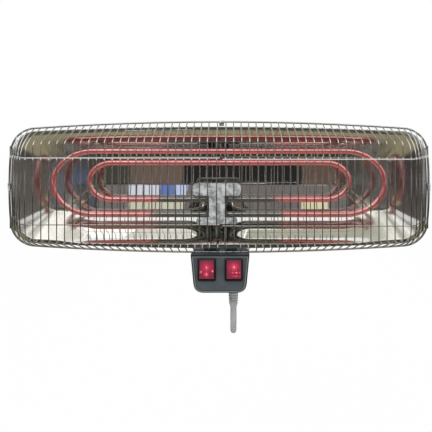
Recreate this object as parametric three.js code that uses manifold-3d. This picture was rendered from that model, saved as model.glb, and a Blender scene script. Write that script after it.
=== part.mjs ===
// Electric bar heater: a tilting infrared head on a wall bracket.
// Millimetres, +Z up, the front faces -Y and the wall is the plane Y = 0.
// The origin is the centre of the wall bracket's back face, level with the tilt axis.

import * as THREE from 'three';
import { mergeVertices } from 'three/addons/utils/BufferGeometryUtils.js';
import Module from 'manifold-3d';

const wasm = await Module();
wasm.setup();

// ---------------------------------------------------------------- driving dimensions

const GAP = 0.3; // clearance between pieces that touch

// depths, measured from the wall towards the front
const STANDOFF = 95; // wall to the back of the rear cover
const COVER_DEPTH = 60; // back of the rear cover to the reflector's lip
const RIM_Y = -(STANDOFF + COVER_DEPTH);
const BACK_Y = -STANDOFF;
const PIVOT_Y = -50;

// reflector: a pressed dish, open to the front
const REFLECTOR_SHEET = 1;
const REFLECTOR_DEPTH = 33;
const REFLECTOR_LIP = { halfWidth: 292, halfHeight: 84, corner: 34, bow: 7, endBow: 1.5 };
const REFLECTOR_MOUTH = { halfWidth: 289, halfHeight: 81, corner: 31, bow: 7, endBow: 1.5 };
const REFLECTOR_PANEL = { halfWidth: 252, halfHeight: 41, corner: 9, bow: 2, endBow: 0.5 };
const PANEL_BEND = 1.6; // depth of the round bend between the panel and the walls
const LEAD_HOLE_RADIUS = 6;
const LEAD_HOLE_Z = -28;

// rear cover: a deeper pan behind the reflector
const COVER_SHEET = 1.2;
const COVER_SKIRT = 8;
const COVER_RIM = { halfWidth: 291, halfHeight: 83, corner: 33, bow: 7, endBow: 1.5 };
const COVER_BACK = { halfWidth: 262, halfHeight: 52, corner: 22, bow: 3, endBow: 1 };
const COVER_BEND = 3;
const RIB = { z: 37, halfLength: 205, halfWidth: 5, height: 1.6 };

// wire guard: a basket that flares from a flat front to a rim wire
const WIRE_RADIUS = 1;
const RIM_WIRE_RADIUS = 1.6;
const GUARD_RIM_Y = RIM_Y + 4;
const GUARD_DEPTH = 54;
const GUARD_RIM = { halfWidth: 299.5, halfHeight: 93, corner: 36, bow: 9, endBow: 2 };
const GUARD_FRONT = { halfWidth: 254, halfHeight: 65, corner: 20, bow: 3, endBow: 1 };
const CENTRE_WIRE_X = -2;
const FIRST_PITCH = 12; // the two gaps beside the centre wire are wider than the rest
const HALF_WIRES = 24; // front wires in each half, the centre wire not counted
const END_WIRES = 5; // wires on each end flank
const LEVEL_WIRE_Z = 44;
const CLIP_SHEET = 1;
const END_CLIP_HALF = 6;

// heating elements
const ELEMENT_RADIUS = 4;
const ELEMENT_Y = RIM_Y + 5;
const OUTER_LOOP = { halfWidth: 237, top: 51, bottom: -39.5, turn: 58 }; // turn: length of each rounded end
const INNER_LOOP = { halfWidth: 185.5, top: 34.5, bottom: -18, turn: 33 };
const TERMINAL_X = -3; // the bracket in the middle stands a little left of centre
const PIN_RADIUS = 1.6;
const PIN_LENGTH = 4;
const SPACER = { innerAngle: -0.36, outerAngle: -0.9, rod: 1.2, eyeWall: 1.5, eyeHalf: 2 };

// terminal bracket
const BRACKET_SHEET = 1.5;
const STEM_HALF = 11;
const BRACKET_FRONT_Y = ELEMENT_Y - 9;
const BRACKET_TOP = { halfWidth: 34, high: 6, low: -11.5, fold: 9 }; // fold: how far its edge is turned back
const BRACKET_FOOT = { halfWidth: 29, high: -42.5, low: -51.5, fold: 3 };
const FLANGE_CORNER = 6;
const CHANNEL_LOW = -38.5; // below this the channel's sides stay clear of the dish's sloping wall
const CHANNEL_SHORT = 22;
const BUSH = { radius: 6, neck: 5.1, collar: 5, inside: 2 };

// switch box
const BOX_FRONT_Y = -172;
const BOX_SPLIT_Y = -156;
const BOX_BACK_Y = -112;
const BOX_WALL = 2.2;
const BOX_TOP_Z = -92.2;
const BOX_SHOULDER_Z = -97;
const BOX_BOTTOM_Z = -145;
const BOX_CENTRE_X = 1.8;
const BOX_TOP_HALF = 41;
const BOX_BOTTOM_HALF = 36;
const BOX_CORNER = 13;
const BOX_TOP_BORDER = 3;
const NECK = { halfWidth: 24, front: -146, back: -118, wall: 2 };
const BOSS_RADIUS = 3.6;
const BOX_SCREWS = [[-34.5, -104], [34.5, -104], [-31.4, -134], [31.4, -134]]; // x from the box's middle
const BOX_SCREW_LENGTH = 50;

// rocker switches
const SWITCH_X = [-16.6, 20.9];
const SWITCH_Z = -112;
const BEZEL = { width: 25.4, height: 31.4, thick: 2, corner: 1.6 };
const SWITCH_BODY = { width: 21.8, height: 29.6, rearHeight: 24, depth: 22 };
const POCKET = { width: 20.6, height: 27.4, depth: 13 };
const ROCKER = { width: 20, halfHeight: 12.2, back: 5.5 };
const ROCKER_ANGLE = THREE.MathUtils.degToRad(8); // from the middle to either end of its travel
const ROCKER_PIVOT_DEPTH = 6; // behind the bezel's face
const ROCKER_PIVOT_Y = BOX_FRONT_Y - BEZEL.thick + ROCKER_PIVOT_DEPTH;
const TAB = { spread: 6, width: 4.8, thick: 0.8, length: 7 };

// gland and cord
const GLAND_X = 20.5;
const GLAND_Y = -143;
const GLAND_BOTTOM_Z = -172;
const GLAND_THREAD = 6;
const GLAND_COLLAR = { radius: 8.6, high: 5 };
const GLAND_RIBS = 6;
const DROP = 12; // straight cord below the gland
const BEND_RADIUS = 36;
const CORD_RADIUS = 4.5;
const COIL_CENTRE_Z = -9.4;
const COIL_ENTRY_Y = -83.8;
const COIL_LAYER_PITCH = 9.6;
const COIL_PITCH = 9.6;
const COIL_INNER = 40;
const COIL_SPIRAL_TURNS = 2; // turns of each layer, with a half turn between them
const COIL_DIP = 1.4; // how far the half turn between the layers is drawn in
const COIL_STEPS = 24; // steps in a turn
const COIL_LAP = 2 * Math.PI * COIL_SPIRAL_TURNS;
const COIL_OUTER = COIL_INNER + COIL_PITCH * COIL_SPIRAL_TURNS;
const TAIL_LENGTH = 18;
const TAIL_SHIFT = 2;
const PLUG_LENGTH = 41;
const PLUG_RADIUS = 18.5;
const PLUG_PIN = { spread: 9.5, radius: 2.4, length: 19 };
const TIE = { halfWidth: 4, band: 1.4, slack: 0.8 };

// leads behind the dish
const LEAD_RADIUS = 1.5;
const BLOCK = { x0: 42, x1: 72, y0: -110, y1: BACK_Y - COVER_SHEET - GAP, z0: -27, z1: -11 };
const BLOCK_BORE = { first: 5, pitch: 10, y: -104, well: 2.4 };
const GROMMET = { bore: 3.4, radius: 8, lip: 1.5 };

// brackets
const PLATE = 2.5;
const EAR_OUTER_X = 24;
const EAR_HALF_HEIGHT = 15;
const ARM_HALF_HEIGHT = 13;
const BOLT_RADIUS = 3;
const SCREW_RADIUS = 2;
const SCREW_SIDES = 8;
const HEAD_PLATE = { halfWidth: 44, halfHeight: 30 };
const BRACKET_SCREWS = [[-35, -21], [35, -21], [-35, 21], [35, 21]];
const BRACKET_SCREW_LENGTH = 8;
const WALL_PLATE = { halfWidth: 60, halfHeight: 38 };
const WALL_SLOTS = [[-48, 24], [48, 24], [-48, -24], [48, -24]];
const WALL_SLOT = { halfLength: 6, halfHeight: 2.8 };
const HEXAGON = { radius: 5.8, head: 4, nut: 4.6 };
const WASHER = { radius: 8, thick: 1.2 };

// ---------------------------------------------------------------- solids

function toManifold(geometry) {
  const bare = geometry.clone();
  bare.deleteAttribute('normal');
  bare.deleteAttribute('uv');
  const merged = mergeVertices(bare, 1e-4);
  const mesh = new wasm.Mesh({
    numProp: 3,
    vertProperties: new Float32Array(merged.attributes.position.array),
    triVerts: new Uint32Array(merged.index.array),
  });
  return new wasm.Manifold(mesh);
}

function toGeometry(manifold) {
  const mesh = manifold.getMesh();
  const geometry = new THREE.BufferGeometry();
  geometry.setAttribute('position', new THREE.BufferAttribute(mesh.vertProperties, 3));
  geometry.setIndex(new THREE.BufferAttribute(mesh.triVerts, 1));
  return geometry;
}

function join(geometries) {
  return toGeometry(geometries.map(toManifold).reduce((sum, next) => sum.add(next)));
}

function cut(geometry, tools) {
  return toGeometry(tools.map(toManifold).reduce((rest, tool) => rest.subtract(tool), toManifold(geometry)));
}

function box(x0, x1, y0, y1, z0, z1) {
  const geometry = new THREE.BoxGeometry(x1 - x0, y1 - y0, z1 - z0);
  return geometry.translate((x0 + x1) / 2, (y0 + y1) / 2, (z0 + z1) / 2);
}

// Turns a closed skin's faces outwards, whichever way its profile or rings run.
function outward(geometry) {
  const closed = geometry.index ? geometry : mergeVertices(geometry);
  const index = closed.index.array;
  const corners = [0, 1, 2].map(() => new THREE.Vector3());
  let volume = 0;
  for (let i = 0; i < index.length; i += 3) {
    corners.forEach((corner, k) => corner.fromBufferAttribute(closed.attributes.position, index[i + k]));
    volume += corners[0].dot(corners[1].clone().cross(corners[2]));
  }
  if (volume < 0) {
    for (let i = 0; i < index.length; i += 3) [index[i + 1], index[i + 2]] = [index[i + 2], index[i + 1]];
  }
  return closed;
}

// A cylinder about X, Y or Z, given by its middle.
function rod(axis, radius, length, [x, y, z], sides = 16) {
  const geometry = new THREE.CylinderGeometry(radius, radius, length, sides);
  if (axis === 'x') geometry.rotateZ(Math.PI / 2);
  if (axis === 'z') geometry.rotateX(Math.PI / 2);
  return geometry.translate(x, y, z);
}

// A profile of [radius, height] pairs turned about +Z, closed on itself or ended on the axis.
function turned(profile, sides = 16) {
  const points = profile.map(([radius, height]) => new THREE.Vector2(radius, height));
  return outward(new THREE.LatheGeometry(points, sides).rotateX(Math.PI / 2));
}

// A closed skin through rings of equal point counts, with a flat cap on the first and the last.
function loft(rings) {
  const count = rings[0].length;
  const positions = rings.flat().flatMap((p) => [p.x, p.y, p.z]);
  const index = [];
  for (let ring = 0; ring + 1 < rings.length; ring++) {
    for (let i = 0; i < count; i++) {
      const a = ring * count + i;
      const b = ring * count + ((i + 1) % count);
      index.push(a, b, a + count, b, b + count, a + count);
    }
  }
  for (const [ring, last] of [[0, false], [rings.length - 1, true]]) {
    const flat = rings[ring].map((p) => new THREE.Vector2(p.x, p.z));
    const turn = last !== THREE.ShapeUtils.isClockWise(flat);
    for (const [a, b, c] of THREE.ShapeUtils.triangulateShape(flat, [])) {
      const base = ring * count;
      index.push(base + a, base + (turn ? b : c), base + (turn ? c : b));
    }
  }
  const geometry = new THREE.BufferGeometry();
  geometry.setAttribute('position', new THREE.Float32BufferAttribute(positions, 3));
  geometry.setIndex(index);
  return outward(geometry);
}

// A route through given points, met exactly at equal steps.
class Route extends THREE.Curve {
  constructor(points) {
    super();
    this.points = points;
  }

  getPoint(t, target = new THREE.Vector3()) {
    const place = Math.min(Math.max(t, 0), 1) * (this.points.length - 1);
    const i = Math.min(Math.floor(place), this.points.length - 2);
    return target.copy(this.points[i]).lerp(this.points[i + 1], place - i);
  }

  getPointAt(u, target) {
    return this.getPoint(u, target);
  }

  getTangentAt(u, target) {
    return this.getTangent(u, target);
  }
}

function tube(points, radius, sides) {
  const section = new THREE.Shape();
  for (let i = 0; i < sides; i++) {
    const angle = (2 * Math.PI * (i + 0.5)) / sides;
    section[i ? 'lineTo' : 'moveTo'](radius * Math.cos(angle), radius * Math.sin(angle));
  }
  section.closePath();
  const steps = points.length - 1;
  return new THREE.ExtrudeGeometry(section, { steps, extrudePath: new Route(points), curveSegments: 1 });
}

const at = (x, y, z) => new THREE.Vector3(x, y, z);

// ---------------------------------------------------------------- the head's outline

const LONG_STEPS = 8;
const CORNER_STEPS = 5;
const END_STEPS = 2;

function mix(a, b, share) {
  const blend = {};
  for (const key of Object.keys(a)) blend[key] = THREE.MathUtils.lerp(a[key], b[key], share);
  return blend;
}

function shrink(outline, by) {
  return {
    ...outline,
    halfWidth: outline.halfWidth - by,
    halfHeight: outline.halfHeight - by,
    corner: Math.max(outline.corner - by, 1),
  };
}

// Height of the bowed long side above the middle at x; the corner is a round arc below its end.
function halfHeightAt(outline, x) {
  const { halfWidth, halfHeight, corner, bow, endBow } = outline;
  const straight = halfWidth - endBow - corner;
  const beyond = Math.abs(x) - straight;
  if (beyond <= 0) return halfHeight - bow * (x / straight) ** 2;
  return halfHeight - bow - corner + Math.sqrt(Math.max(corner ** 2 - beyond ** 2, 0));
}

function halfWidthAt(outline, z) {
  const { halfWidth, halfHeight, corner, bow, endBow } = outline;
  const straight = halfHeight - bow - corner;
  const beyond = Math.abs(z) - straight;
  if (beyond <= 0) return halfWidth - endBow * (z / straight) ** 2;
  return halfWidth - endBow - corner + Math.sqrt(Math.max(corner ** 2 - beyond ** 2, 0));
}

// The outline as a ring of points at depth y: one quarter is worked out and mirrored twice.
function ring(outline, y) {
  const { halfWidth, halfHeight, corner, bow, endBow } = outline;
  const straightX = halfWidth - endBow - corner;
  const straightZ = halfHeight - bow - corner;
  const quarter = [];
  for (let i = 0; i < END_STEPS; i++) {
    const z = (straightZ * i) / END_STEPS;
    quarter.push([halfWidth - endBow * (z / straightZ) ** 2, z]);
  }
  for (let i = 0; i <= CORNER_STEPS; i++) {
    const angle = (Math.PI / 2) * (i / CORNER_STEPS);
    quarter.push([straightX + corner * Math.cos(angle), straightZ + corner * Math.sin(angle)]);
  }
  for (let i = LONG_STEPS - 1; i > 0; i--) {
    const x = (straightX * i) / LONG_STEPS;
    quarter.push([x, halfHeight - bow * (x / straightX) ** 2]);
  }
  const top = [...quarter, [0, halfHeight]];
  const upper = [...top, ...quarter.slice().reverse().map(([x, z]) => [-x, z])];
  const lower = upper.slice(1, -1).map(([x, z]) => [-x, -z]);
  return [...upper, ...lower].map(([x, z]) => at(x, y, z));
}

// ---------------------------------------------------------------- reflector and rear cover

function reflector() {
  const panelY = RIM_Y + REFLECTOR_DEPTH;
  const t = REFLECTOR_SHEET;
  const near = mix(REFLECTOR_MOUTH, REFLECTOR_PANEL, 1 - PANEL_BEND / REFLECTOR_DEPTH);
  const dish = loft([
    ring(shrink(REFLECTOR_PANEL, 2), panelY),
    ring(near, panelY - PANEL_BEND),
    ring(REFLECTOR_MOUTH, RIM_Y + 0.6),
    ring(shrink(REFLECTOR_MOUTH, -0.8), RIM_Y),
    ring(REFLECTOR_LIP, RIM_Y),
    ring(REFLECTOR_LIP, RIM_Y + t),
    ring(shrink(REFLECTOR_MOUTH, -t), RIM_Y + t),
    ring(shrink(near, -t * 0.7), panelY - PANEL_BEND + t * 0.7),
    ring(shrink(REFLECTOR_PANEL, 1.6), panelY + t),
  ]);
  const leadHole = rod('y', LEAD_HOLE_RADIUS, 6, [TERMINAL_X, panelY, LEAD_HOLE_Z]);
  return cut(dish, [leadHole]);
}

function coverHalfHeight(y) {
  const share = (y - (RIM_Y + COVER_SKIRT)) / (COVER_DEPTH - COVER_SKIRT);
  return mix(COVER_RIM, COVER_BACK, THREE.MathUtils.clamp(share, 0, 1)).halfHeight;
}

function rearCover() {
  const rimY = RIM_Y + REFLECTOR_SHEET + GAP;
  const skirtY = RIM_Y + COVER_SKIRT;
  const t = COVER_SHEET;
  const pan = loft([
    ring(shrink(COVER_BACK, t + COVER_BEND), BACK_Y - t),
    ring(shrink(COVER_BACK, t), BACK_Y - t - COVER_BEND),
    ring(shrink(COVER_RIM, t), skirtY),
    ring(shrink(COVER_RIM, t), rimY),
    ring(COVER_RIM, rimY),
    ring(COVER_RIM, skirtY),
    ring(COVER_BACK, BACK_Y - COVER_BEND),
    ring(shrink(COVER_BACK, COVER_BEND), BACK_Y),
  ]);
  const neckHole = box(
    BOX_CENTRE_X - NECK.halfWidth + NECK.wall, BOX_CENTRE_X + NECK.halfWidth - NECK.wall,
    NECK.front + NECK.wall, NECK.back - NECK.wall, -COVER_RIM.halfHeight, -40,
  );
  const ribs = [-RIB.z, RIB.z].map((z) => rib(z));
  const screwHoles = BRACKET_SCREWS.map((place) => screwHole(place, BACK_Y));
  return cut(join([pan, ...ribs]), [neckHole, ...screwHoles]);
}

// A pressed stiffening rib along the back of the cover: an outline with round ends, drawn in at its crest.
function rib(z) {
  const levels = [[0, BACK_Y - COVER_SHEET / 2], [0, BACK_Y], [RIB.height, BACK_Y + RIB.height]];
  return loft(levels.map(([inset, y]) => slotOutline(RIB.halfLength - inset, RIB.halfWidth - inset, y, z)));
}

function slotOutline(halfLength, radius, y, z) {
  const points = [];
  for (const side of [1, -1]) {
    const centreX = side * (halfLength - radius);
    for (let i = 0; i <= 6; i++) {
      const angle = (Math.PI * i) / 6 - (side * Math.PI) / 2;
      points.push(at(centreX + radius * Math.cos(angle), y, z + radius * Math.sin(angle)));
    }
  }
  return points;
}

// ---------------------------------------------------------------- wire guard

// The flank from the rim wire to the flat front, as [share of the inset, depth], with a round bend.
function guardProfile() {
  const rim = new THREE.Vector2(0, 0);
  const corner = new THREE.Vector2(0.86, GUARD_DEPTH);
  const start = rim.clone().lerp(corner, 0.84);
  const end = new THREE.Vector2(1, GUARD_DEPTH);
  return [rim, ...new THREE.QuadraticBezierCurve(start, corner, end).getPoints(2)];
}

const PROFILE = guardProfile();

function guardOutline(share) {
  return mix(GUARD_RIM, GUARD_FRONT, share);
}

// Depth of the guard at a share of the inset, read off the profile.
function guardDepth(share) {
  for (let i = 1; i < PROFILE.length; i++) {
    const [a, b] = [PROFILE[i - 1], PROFILE[i]];
    if (share <= b.x) return THREE.MathUtils.mapLinear(share, a.x, b.x, a.y, b.y);
  }
  return GUARD_DEPTH;
}

function flankPoint(x, share) {
  return at(x, GUARD_RIM_Y - guardDepth(share), halfHeightAt(guardOutline(share), x));
}

// An upright wire over the flat front: up one flank, across the front and down the other.
function frontWire(x) {
  const upper = PROFILE.map((step) => flankPoint(x, step.x));
  return mirrored(upper);
}

// An upright wire on an end flank: it leaves the front's plane where the flank is x wide.
function endWire(x) {
  const reach = (GUARD_RIM.halfWidth - Math.abs(x)) / (GUARD_RIM.halfWidth - GUARD_FRONT.halfWidth);
  const outline = guardOutline(reach);
  const upper = [0, 0.5, 0.85].map((step) => flankPoint(x, reach * step));
  const straight = outline.halfHeight - outline.bow - outline.corner;
  upper.push(at(x, GUARD_RIM_Y - guardDepth(reach), straight + outline.corner * 0.35));
  return mirrored(upper);
}

function mirrored(upper) {
  const lower = upper.map((p) => at(p.x, p.y, -p.z));
  return [...lower, ...upper.reverse()];
}

// A level wire behind the uprights, bent round the end flank to the rim.
function levelWire(side, startX, z) {
  const inside = WIRE_RADIUS * 1.5;
  const points = PROFILE.map((step) => {
    const x = halfWidthAt(guardOutline(step.x), z) - inside * 0.6;
    return at(side * x, GUARD_RIM_Y - step.y + inside, z);
  });
  return [at(startX, GUARD_RIM_Y - GUARD_DEPTH + inside, z), ...points.reverse()];
}

// Half of the rim wire, from the top centre round the end to the bottom centre.
function rimWire(side) {
  const loop = ring(GUARD_RIM, GUARD_RIM_Y);
  const right = loop.filter((p) => p.x > 1).sort((a, b) => Math.atan2(b.z, b.x) - Math.atan2(a.z, a.x));
  const meet = side > 0 ? CENTRE_WIRE_X + FIRST_PITCH / 2 : -(CENTRE_WIRE_X + FIRST_PITCH / 2) + 1;
  const ends = [at(meet, GUARD_RIM_Y, GUARD_RIM.halfHeight), at(meet, GUARD_RIM_Y, -GUARD_RIM.halfHeight)];
  return [ends[0], ...right, ends[1]].map((p) => at(side * p.x, p.y, p.z));
}

function guardHalf(side) {
  const first = side > 0 ? CENTRE_WIRE_X + FIRST_PITCH : CENTRE_WIRE_X - FIRST_PITCH;
  const last = side * GUARD_FRONT.halfWidth;
  const xs = [];
  if (side < 0) xs.push(CENTRE_WIRE_X);
  for (let i = 0; i < HALF_WIRES; i++) {
    xs.push(THREE.MathUtils.lerp(first, last, i / (HALF_WIRES - 1)));
  }
  const wires = xs.map((x) => tube(frontWire(x), WIRE_RADIUS, 4));
  for (let i = 1; i <= END_WIRES; i++) {
    const x = THREE.MathUtils.lerp(GUARD_FRONT.halfWidth, GUARD_RIM.halfWidth - 3, i / END_WIRES);
    wires.push(tube(endWire(side * x), WIRE_RADIUS, 4));
  }
  const levelStart = side > 0 ? CENTRE_WIRE_X + FIRST_PITCH - 4 : CENTRE_WIRE_X + 4;
  for (const z of [LEVEL_WIRE_Z, -LEVEL_WIRE_Z]) {
    wires.push(tube(levelWire(side, levelStart, z), WIRE_RADIUS, 4));
  }
  wires.push(tube(rimWire(side), RIM_WIRE_RADIUS, 6));
  return join(wires);
}

// ---------------------------------------------------------------- heating elements

// A point of a loop's rounded end, which is half an ellipse; the angle runs from -90 to 90 degrees.
function turnPoint(loop, side, angle) {
  const rise = (loop.top - loop.bottom) / 2;
  const x = loop.halfWidth - loop.turn + loop.turn * Math.cos(angle);
  return at(side * x, ELEMENT_Y, (loop.top + loop.bottom) / 2 + rise * Math.sin(angle));
}

// A long loop that starts and ends at the terminal bracket, with thin pins beyond its ends.
function element(loop) {
  const steps = 12;
  const endX = STEM_HALF - BRACKET_SHEET - 2;
  const points = [at(TERMINAL_X + endX, ELEMENT_Y, loop.bottom)];
  for (const side of [1, -1]) {
    for (let i = 0; i <= steps; i++) {
      points.push(turnPoint(loop, side, side * Math.PI * (i / steps - 0.5)));
    }
  }
  points.push(at(TERMINAL_X - endX, ELEMENT_Y, loop.bottom));
  const overlap = 2; // length of each pin inside the sheath's end
  const pins = [1, -1].map((side) => rod(
    'x', PIN_RADIUS, PIN_LENGTH + overlap,
    [TERMINAL_X + side * (endX + (overlap - PIN_LENGTH) / 2), ELEMENT_Y, loop.bottom], 8,
  ));
  return join([tube(points, ELEMENT_RADIUS, 10), ...pins]);
}

// The bracket: an I-shaped face with turned-back edges and a channel that holds the four cold ends.
function terminalBracket() {
  const front = BRACKET_FRONT_Y;
  const back = RIM_Y + REFLECTOR_DEPTH - GAP;
  const s = BRACKET_SHEET;
  const shells = [flange(BRACKET_TOP, front), flange(BRACKET_FOOT, front)];
  const inset = 4; // the stem starts inside both flanges
  const high = BRACKET_TOP.high - inset;
  const low = BRACKET_FOOT.low + inset;
  shells.push(box(TERMINAL_X - STEM_HALF, TERMINAL_X + STEM_HALF, front, front + s, low, high));
  for (const side of [-1, 1]) {
    const x = TERMINAL_X + side * (STEM_HALF - s / 2);
    shells.push(box(x - s / 2, x + s / 2, front, back, CHANNEL_LOW, high));
    shells.push(box(x - s / 2, x + s / 2, front, front + CHANNEL_SHORT, low, CHANNEL_LOW + s));
  }
  const holes = [OUTER_LOOP.bottom, INNER_LOOP.bottom].map(
    (z) => rod('x', BUSH.neck + GAP, 4 * STEM_HALF, [TERMINAL_X, ELEMENT_Y, z], 16),
  );
  return cut(join(shells), holes);
}

// A flange of the bracket: a rounded bar whose edge is turned back on all sides.
function flange({ halfWidth, high, low, fold }, front) {
  const s = BRACKET_SHEET;
  const corner = Math.min((high - low) / 2 - 0.6, FLANGE_CORNER);
  const outer = roundedBar(halfWidth, high, low, corner, front, fold);
  const hollow = roundedBar(halfWidth - s, high - s, low + s, corner - s, front + s, fold);
  return cut(outer, [hollow]);
}

function roundedBar(halfWidth, high, low, radius, y, depth) {
  const shape = roundedShape(TERMINAL_X, halfWidth, high, low, radius);
  const bar = new THREE.ExtrudeGeometry(shape, { depth, bevelEnabled: false, curveSegments: 2 });
  return bar.rotateX(Math.PI / 2).translate(0, y + depth, 0);
}

function roundedShape(centreX, halfWidth, high, low, radius) {
  const shape = new THREE.Shape();
  const [l, r] = [centreX - halfWidth, centreX + halfWidth];
  shape.moveTo(l + radius, low);
  shape.lineTo(r - radius, low);
  shape.absarc(r - radius, low + radius, radius, -Math.PI / 2, 0);
  shape.absarc(r - radius, high - radius, radius, 0, Math.PI / 2);
  shape.absarc(l + radius, high - radius, radius, Math.PI / 2, Math.PI);
  shape.absarc(l + radius, low + radius, radius, Math.PI, 1.5 * Math.PI);
  return shape;
}

// A ceramic bush: a collar outside the channel wall and a neck through it.
function bush(side, z) {
  const hole = ELEMENT_RADIUS + GAP;
  const inner = -BRACKET_SHEET - BUSH.inside;
  const profile = [
    [hole, inner], [BUSH.neck, inner], [BUSH.neck, GAP], [BUSH.radius, GAP],
    [BUSH.radius, BUSH.collar - 0.8], [BUSH.radius - 0.8, BUSH.collar], [hole, BUSH.collar], [hole, inner],
  ];
  const geometry = turned(profile, 12).rotateY((side * Math.PI) / 2);
  return geometry.translate(TERMINAL_X + side * STEM_HALF, ELEMENT_Y, z);
}

// An eye round an element: its place on the loop's end and the way the tube runs there.
function eye(loop, side, angle) {
  const rise = (loop.top - loop.bottom) / 2;
  const slope = Math.atan2(loop.turn * Math.sin(angle), rise * Math.cos(angle));
  return { place: turnPoint(loop, side, angle), slope: side * slope };
}

// A spacer rod between the inner loop's end and the outer loop's lower turn, with an eye round each.
function elementSpacer(side) {
  const eyes = [eye(INNER_LOOP, side, SPACER.innerAngle), eye(OUTER_LOOP, side, SPACER.outerAngle)];
  const hole = ELEMENT_RADIUS + 2 * GAP;
  const outer = hole + SPACER.eyeWall;
  const half = SPACER.eyeHalf;
  const profile = [[hole, -half], [outer, -half], [outer, half], [hole, half], [hole, -half]];
  const rings = eyes.map(({ place, slope }) => (
    turned(profile, 12).rotateY(-slope).translate(place.x, place.y, place.z)
  ));
  const [a, b] = eyes.map(({ place }) => place);
  const along = b.clone().sub(a).normalize();
  const start = a.clone().addScaledVector(along, hole + SPACER.eyeWall / 2);
  const end = b.clone().addScaledVector(along, -hole - SPACER.eyeWall / 2);
  return join([...rings, tube([start, end], SPACER.rod, 6)]);
}

// ---------------------------------------------------------------- leads behind the dish

// A rubber ring with a groove round its middle, which holds the edge of the hole in the dish.
function leadGrommet() {
  const { bore, radius, lip } = GROMMET;
  const groove = LEAD_HOLE_RADIUS - GAP;
  const near = REFLECTOR_SHEET / 2 + GAP;
  const far = near + lip;
  const profile = [
    [bore, -far], [radius, -far], [radius, -near], [groove, -near],
    [groove, near], [radius, near], [radius, far], [bore, far], [bore, -far],
  ];
  const middleY = RIM_Y + REFLECTOR_DEPTH + REFLECTOR_SHEET / 2;
  return turned(profile, 12).rotateX(Math.PI / 2).translate(TERMINAL_X, middleY, LEAD_HOLE_Z);
}

const blockBoreX = (number) => BLOCK.x0 + BLOCK_BORE.first + BLOCK_BORE.pitch * number;

// The terminal block: three upright bores for the leads, each under a screw well.
function terminalBlock() {
  const { x0, x1, y0, y1, z0, z1 } = BLOCK;
  const middleZ = (z0 + z1) / 2;
  const bores = [0, 1, 2].flatMap((number) => {
    const x = blockBoreX(number);
    const bore = rod('z', LEAD_RADIUS + 2 * GAP, 2 * (z1 - z0), [x, BLOCK_BORE.y, middleZ], 8);
    const well = rod('y', BLOCK_BORE.well, BLOCK_BORE.y - y0, [x, y0, middleZ], 8);
    return [bore, well];
  });
  return cut(box(x0, x1, y0, y1, z0, z1), bores);
}

function lead(points) {
  const steps = Math.round(1.5 * points.length);
  return tube(new THREE.CatmullRomCurve3(points).getPoints(steps), LEAD_RADIUS, 6);
}

// From a switch's tab up through the neck of the box, behind the dish and into the block from below.
function switchLead(number) {
  const x = SWITCH_X[number] + [TAB.spread, -TAB.spread][number];
  const waist = 12 + 8 * number; // where it passes the neck
  const boreX = blockBoreX(number);
  const tabEnd = BOX_FRONT_Y + SWITCH_BODY.depth + TAB.length;
  return lead([
    at(x, tabEnd + GAP, SWITCH_Z), at(x, tabEnd + 7, SWITCH_Z), at((x + waist) / 2, -130, -98),
    at(waist - 2, -128, -82), at(waist, -127, -70), at(waist + 4, -122, -58),
    at(boreX - 8, -112, -47), at(boreX, BLOCK_BORE.y, -38), at(boreX, BLOCK_BORE.y, BLOCK.z0 + 6),
  ]);
}

// From the top of the block through the grommet to the element pins inside the bracket's channel.
function elementLead() {
  const x = blockBoreX(0);
  const panelY = RIM_Y + REFLECTOR_DEPTH;
  return lead([
    at(x, BLOCK_BORE.y, BLOCK.z1 - 6), at(x, BLOCK_BORE.y, BLOCK.z1 + 4), at(x - 9, -107, -2),
    at(x - 24, -110, -12), at(TERMINAL_X + 2, -112, -25), at(TERMINAL_X, panelY + 4, LEAD_HOLE_Z),
    at(TERMINAL_X, panelY - 8, LEAD_HOLE_Z), at(TERMINAL_X, ELEMENT_Y + 4, LEAD_HOLE_Z),
  ]);
}

// ---------------------------------------------------------------- switch box

// The box's front view: narrower at the bottom, with round lower corners, drawn in by an inset.
// The top edge is drawn in less, because the switches stand close under it.
function boxShape(topZ, inset) {
  const shape = new THREE.Shape();
  const top = topZ - Math.min(inset, BOX_TOP_BORDER);
  const bottom = BOX_BOTTOM_Z + inset;
  const lean = (BOX_TOP_HALF - BOX_BOTTOM_HALF) / (BOX_TOP_Z - BOX_BOTTOM_Z);
  const halfAt = (z) => BOX_BOTTOM_HALF + lean * (z - BOX_BOTTOM_Z) - inset;
  const corner = BOX_CORNER - inset;
  const c = BOX_CENTRE_X;
  shape.moveTo(c - halfAt(top), top);
  shape.lineTo(c - halfAt(bottom + corner), bottom + corner);
  shape.quadraticCurveTo(c - halfAt(bottom), bottom, c - halfAt(bottom) + corner, bottom);
  shape.lineTo(c + halfAt(bottom) - corner, bottom);
  shape.quadraticCurveTo(c + halfAt(bottom), bottom, c + halfAt(bottom + corner), bottom + corner);
  shape.lineTo(c + halfAt(top), top);
  shape.closePath();
  return shape;
}

function boxRing(topZ, inset, y) {
  return boxShape(topZ, inset).getPoints(6).slice(0, -1).map((p) => at(p.x, y, p.y)).reverse();
}

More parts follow.
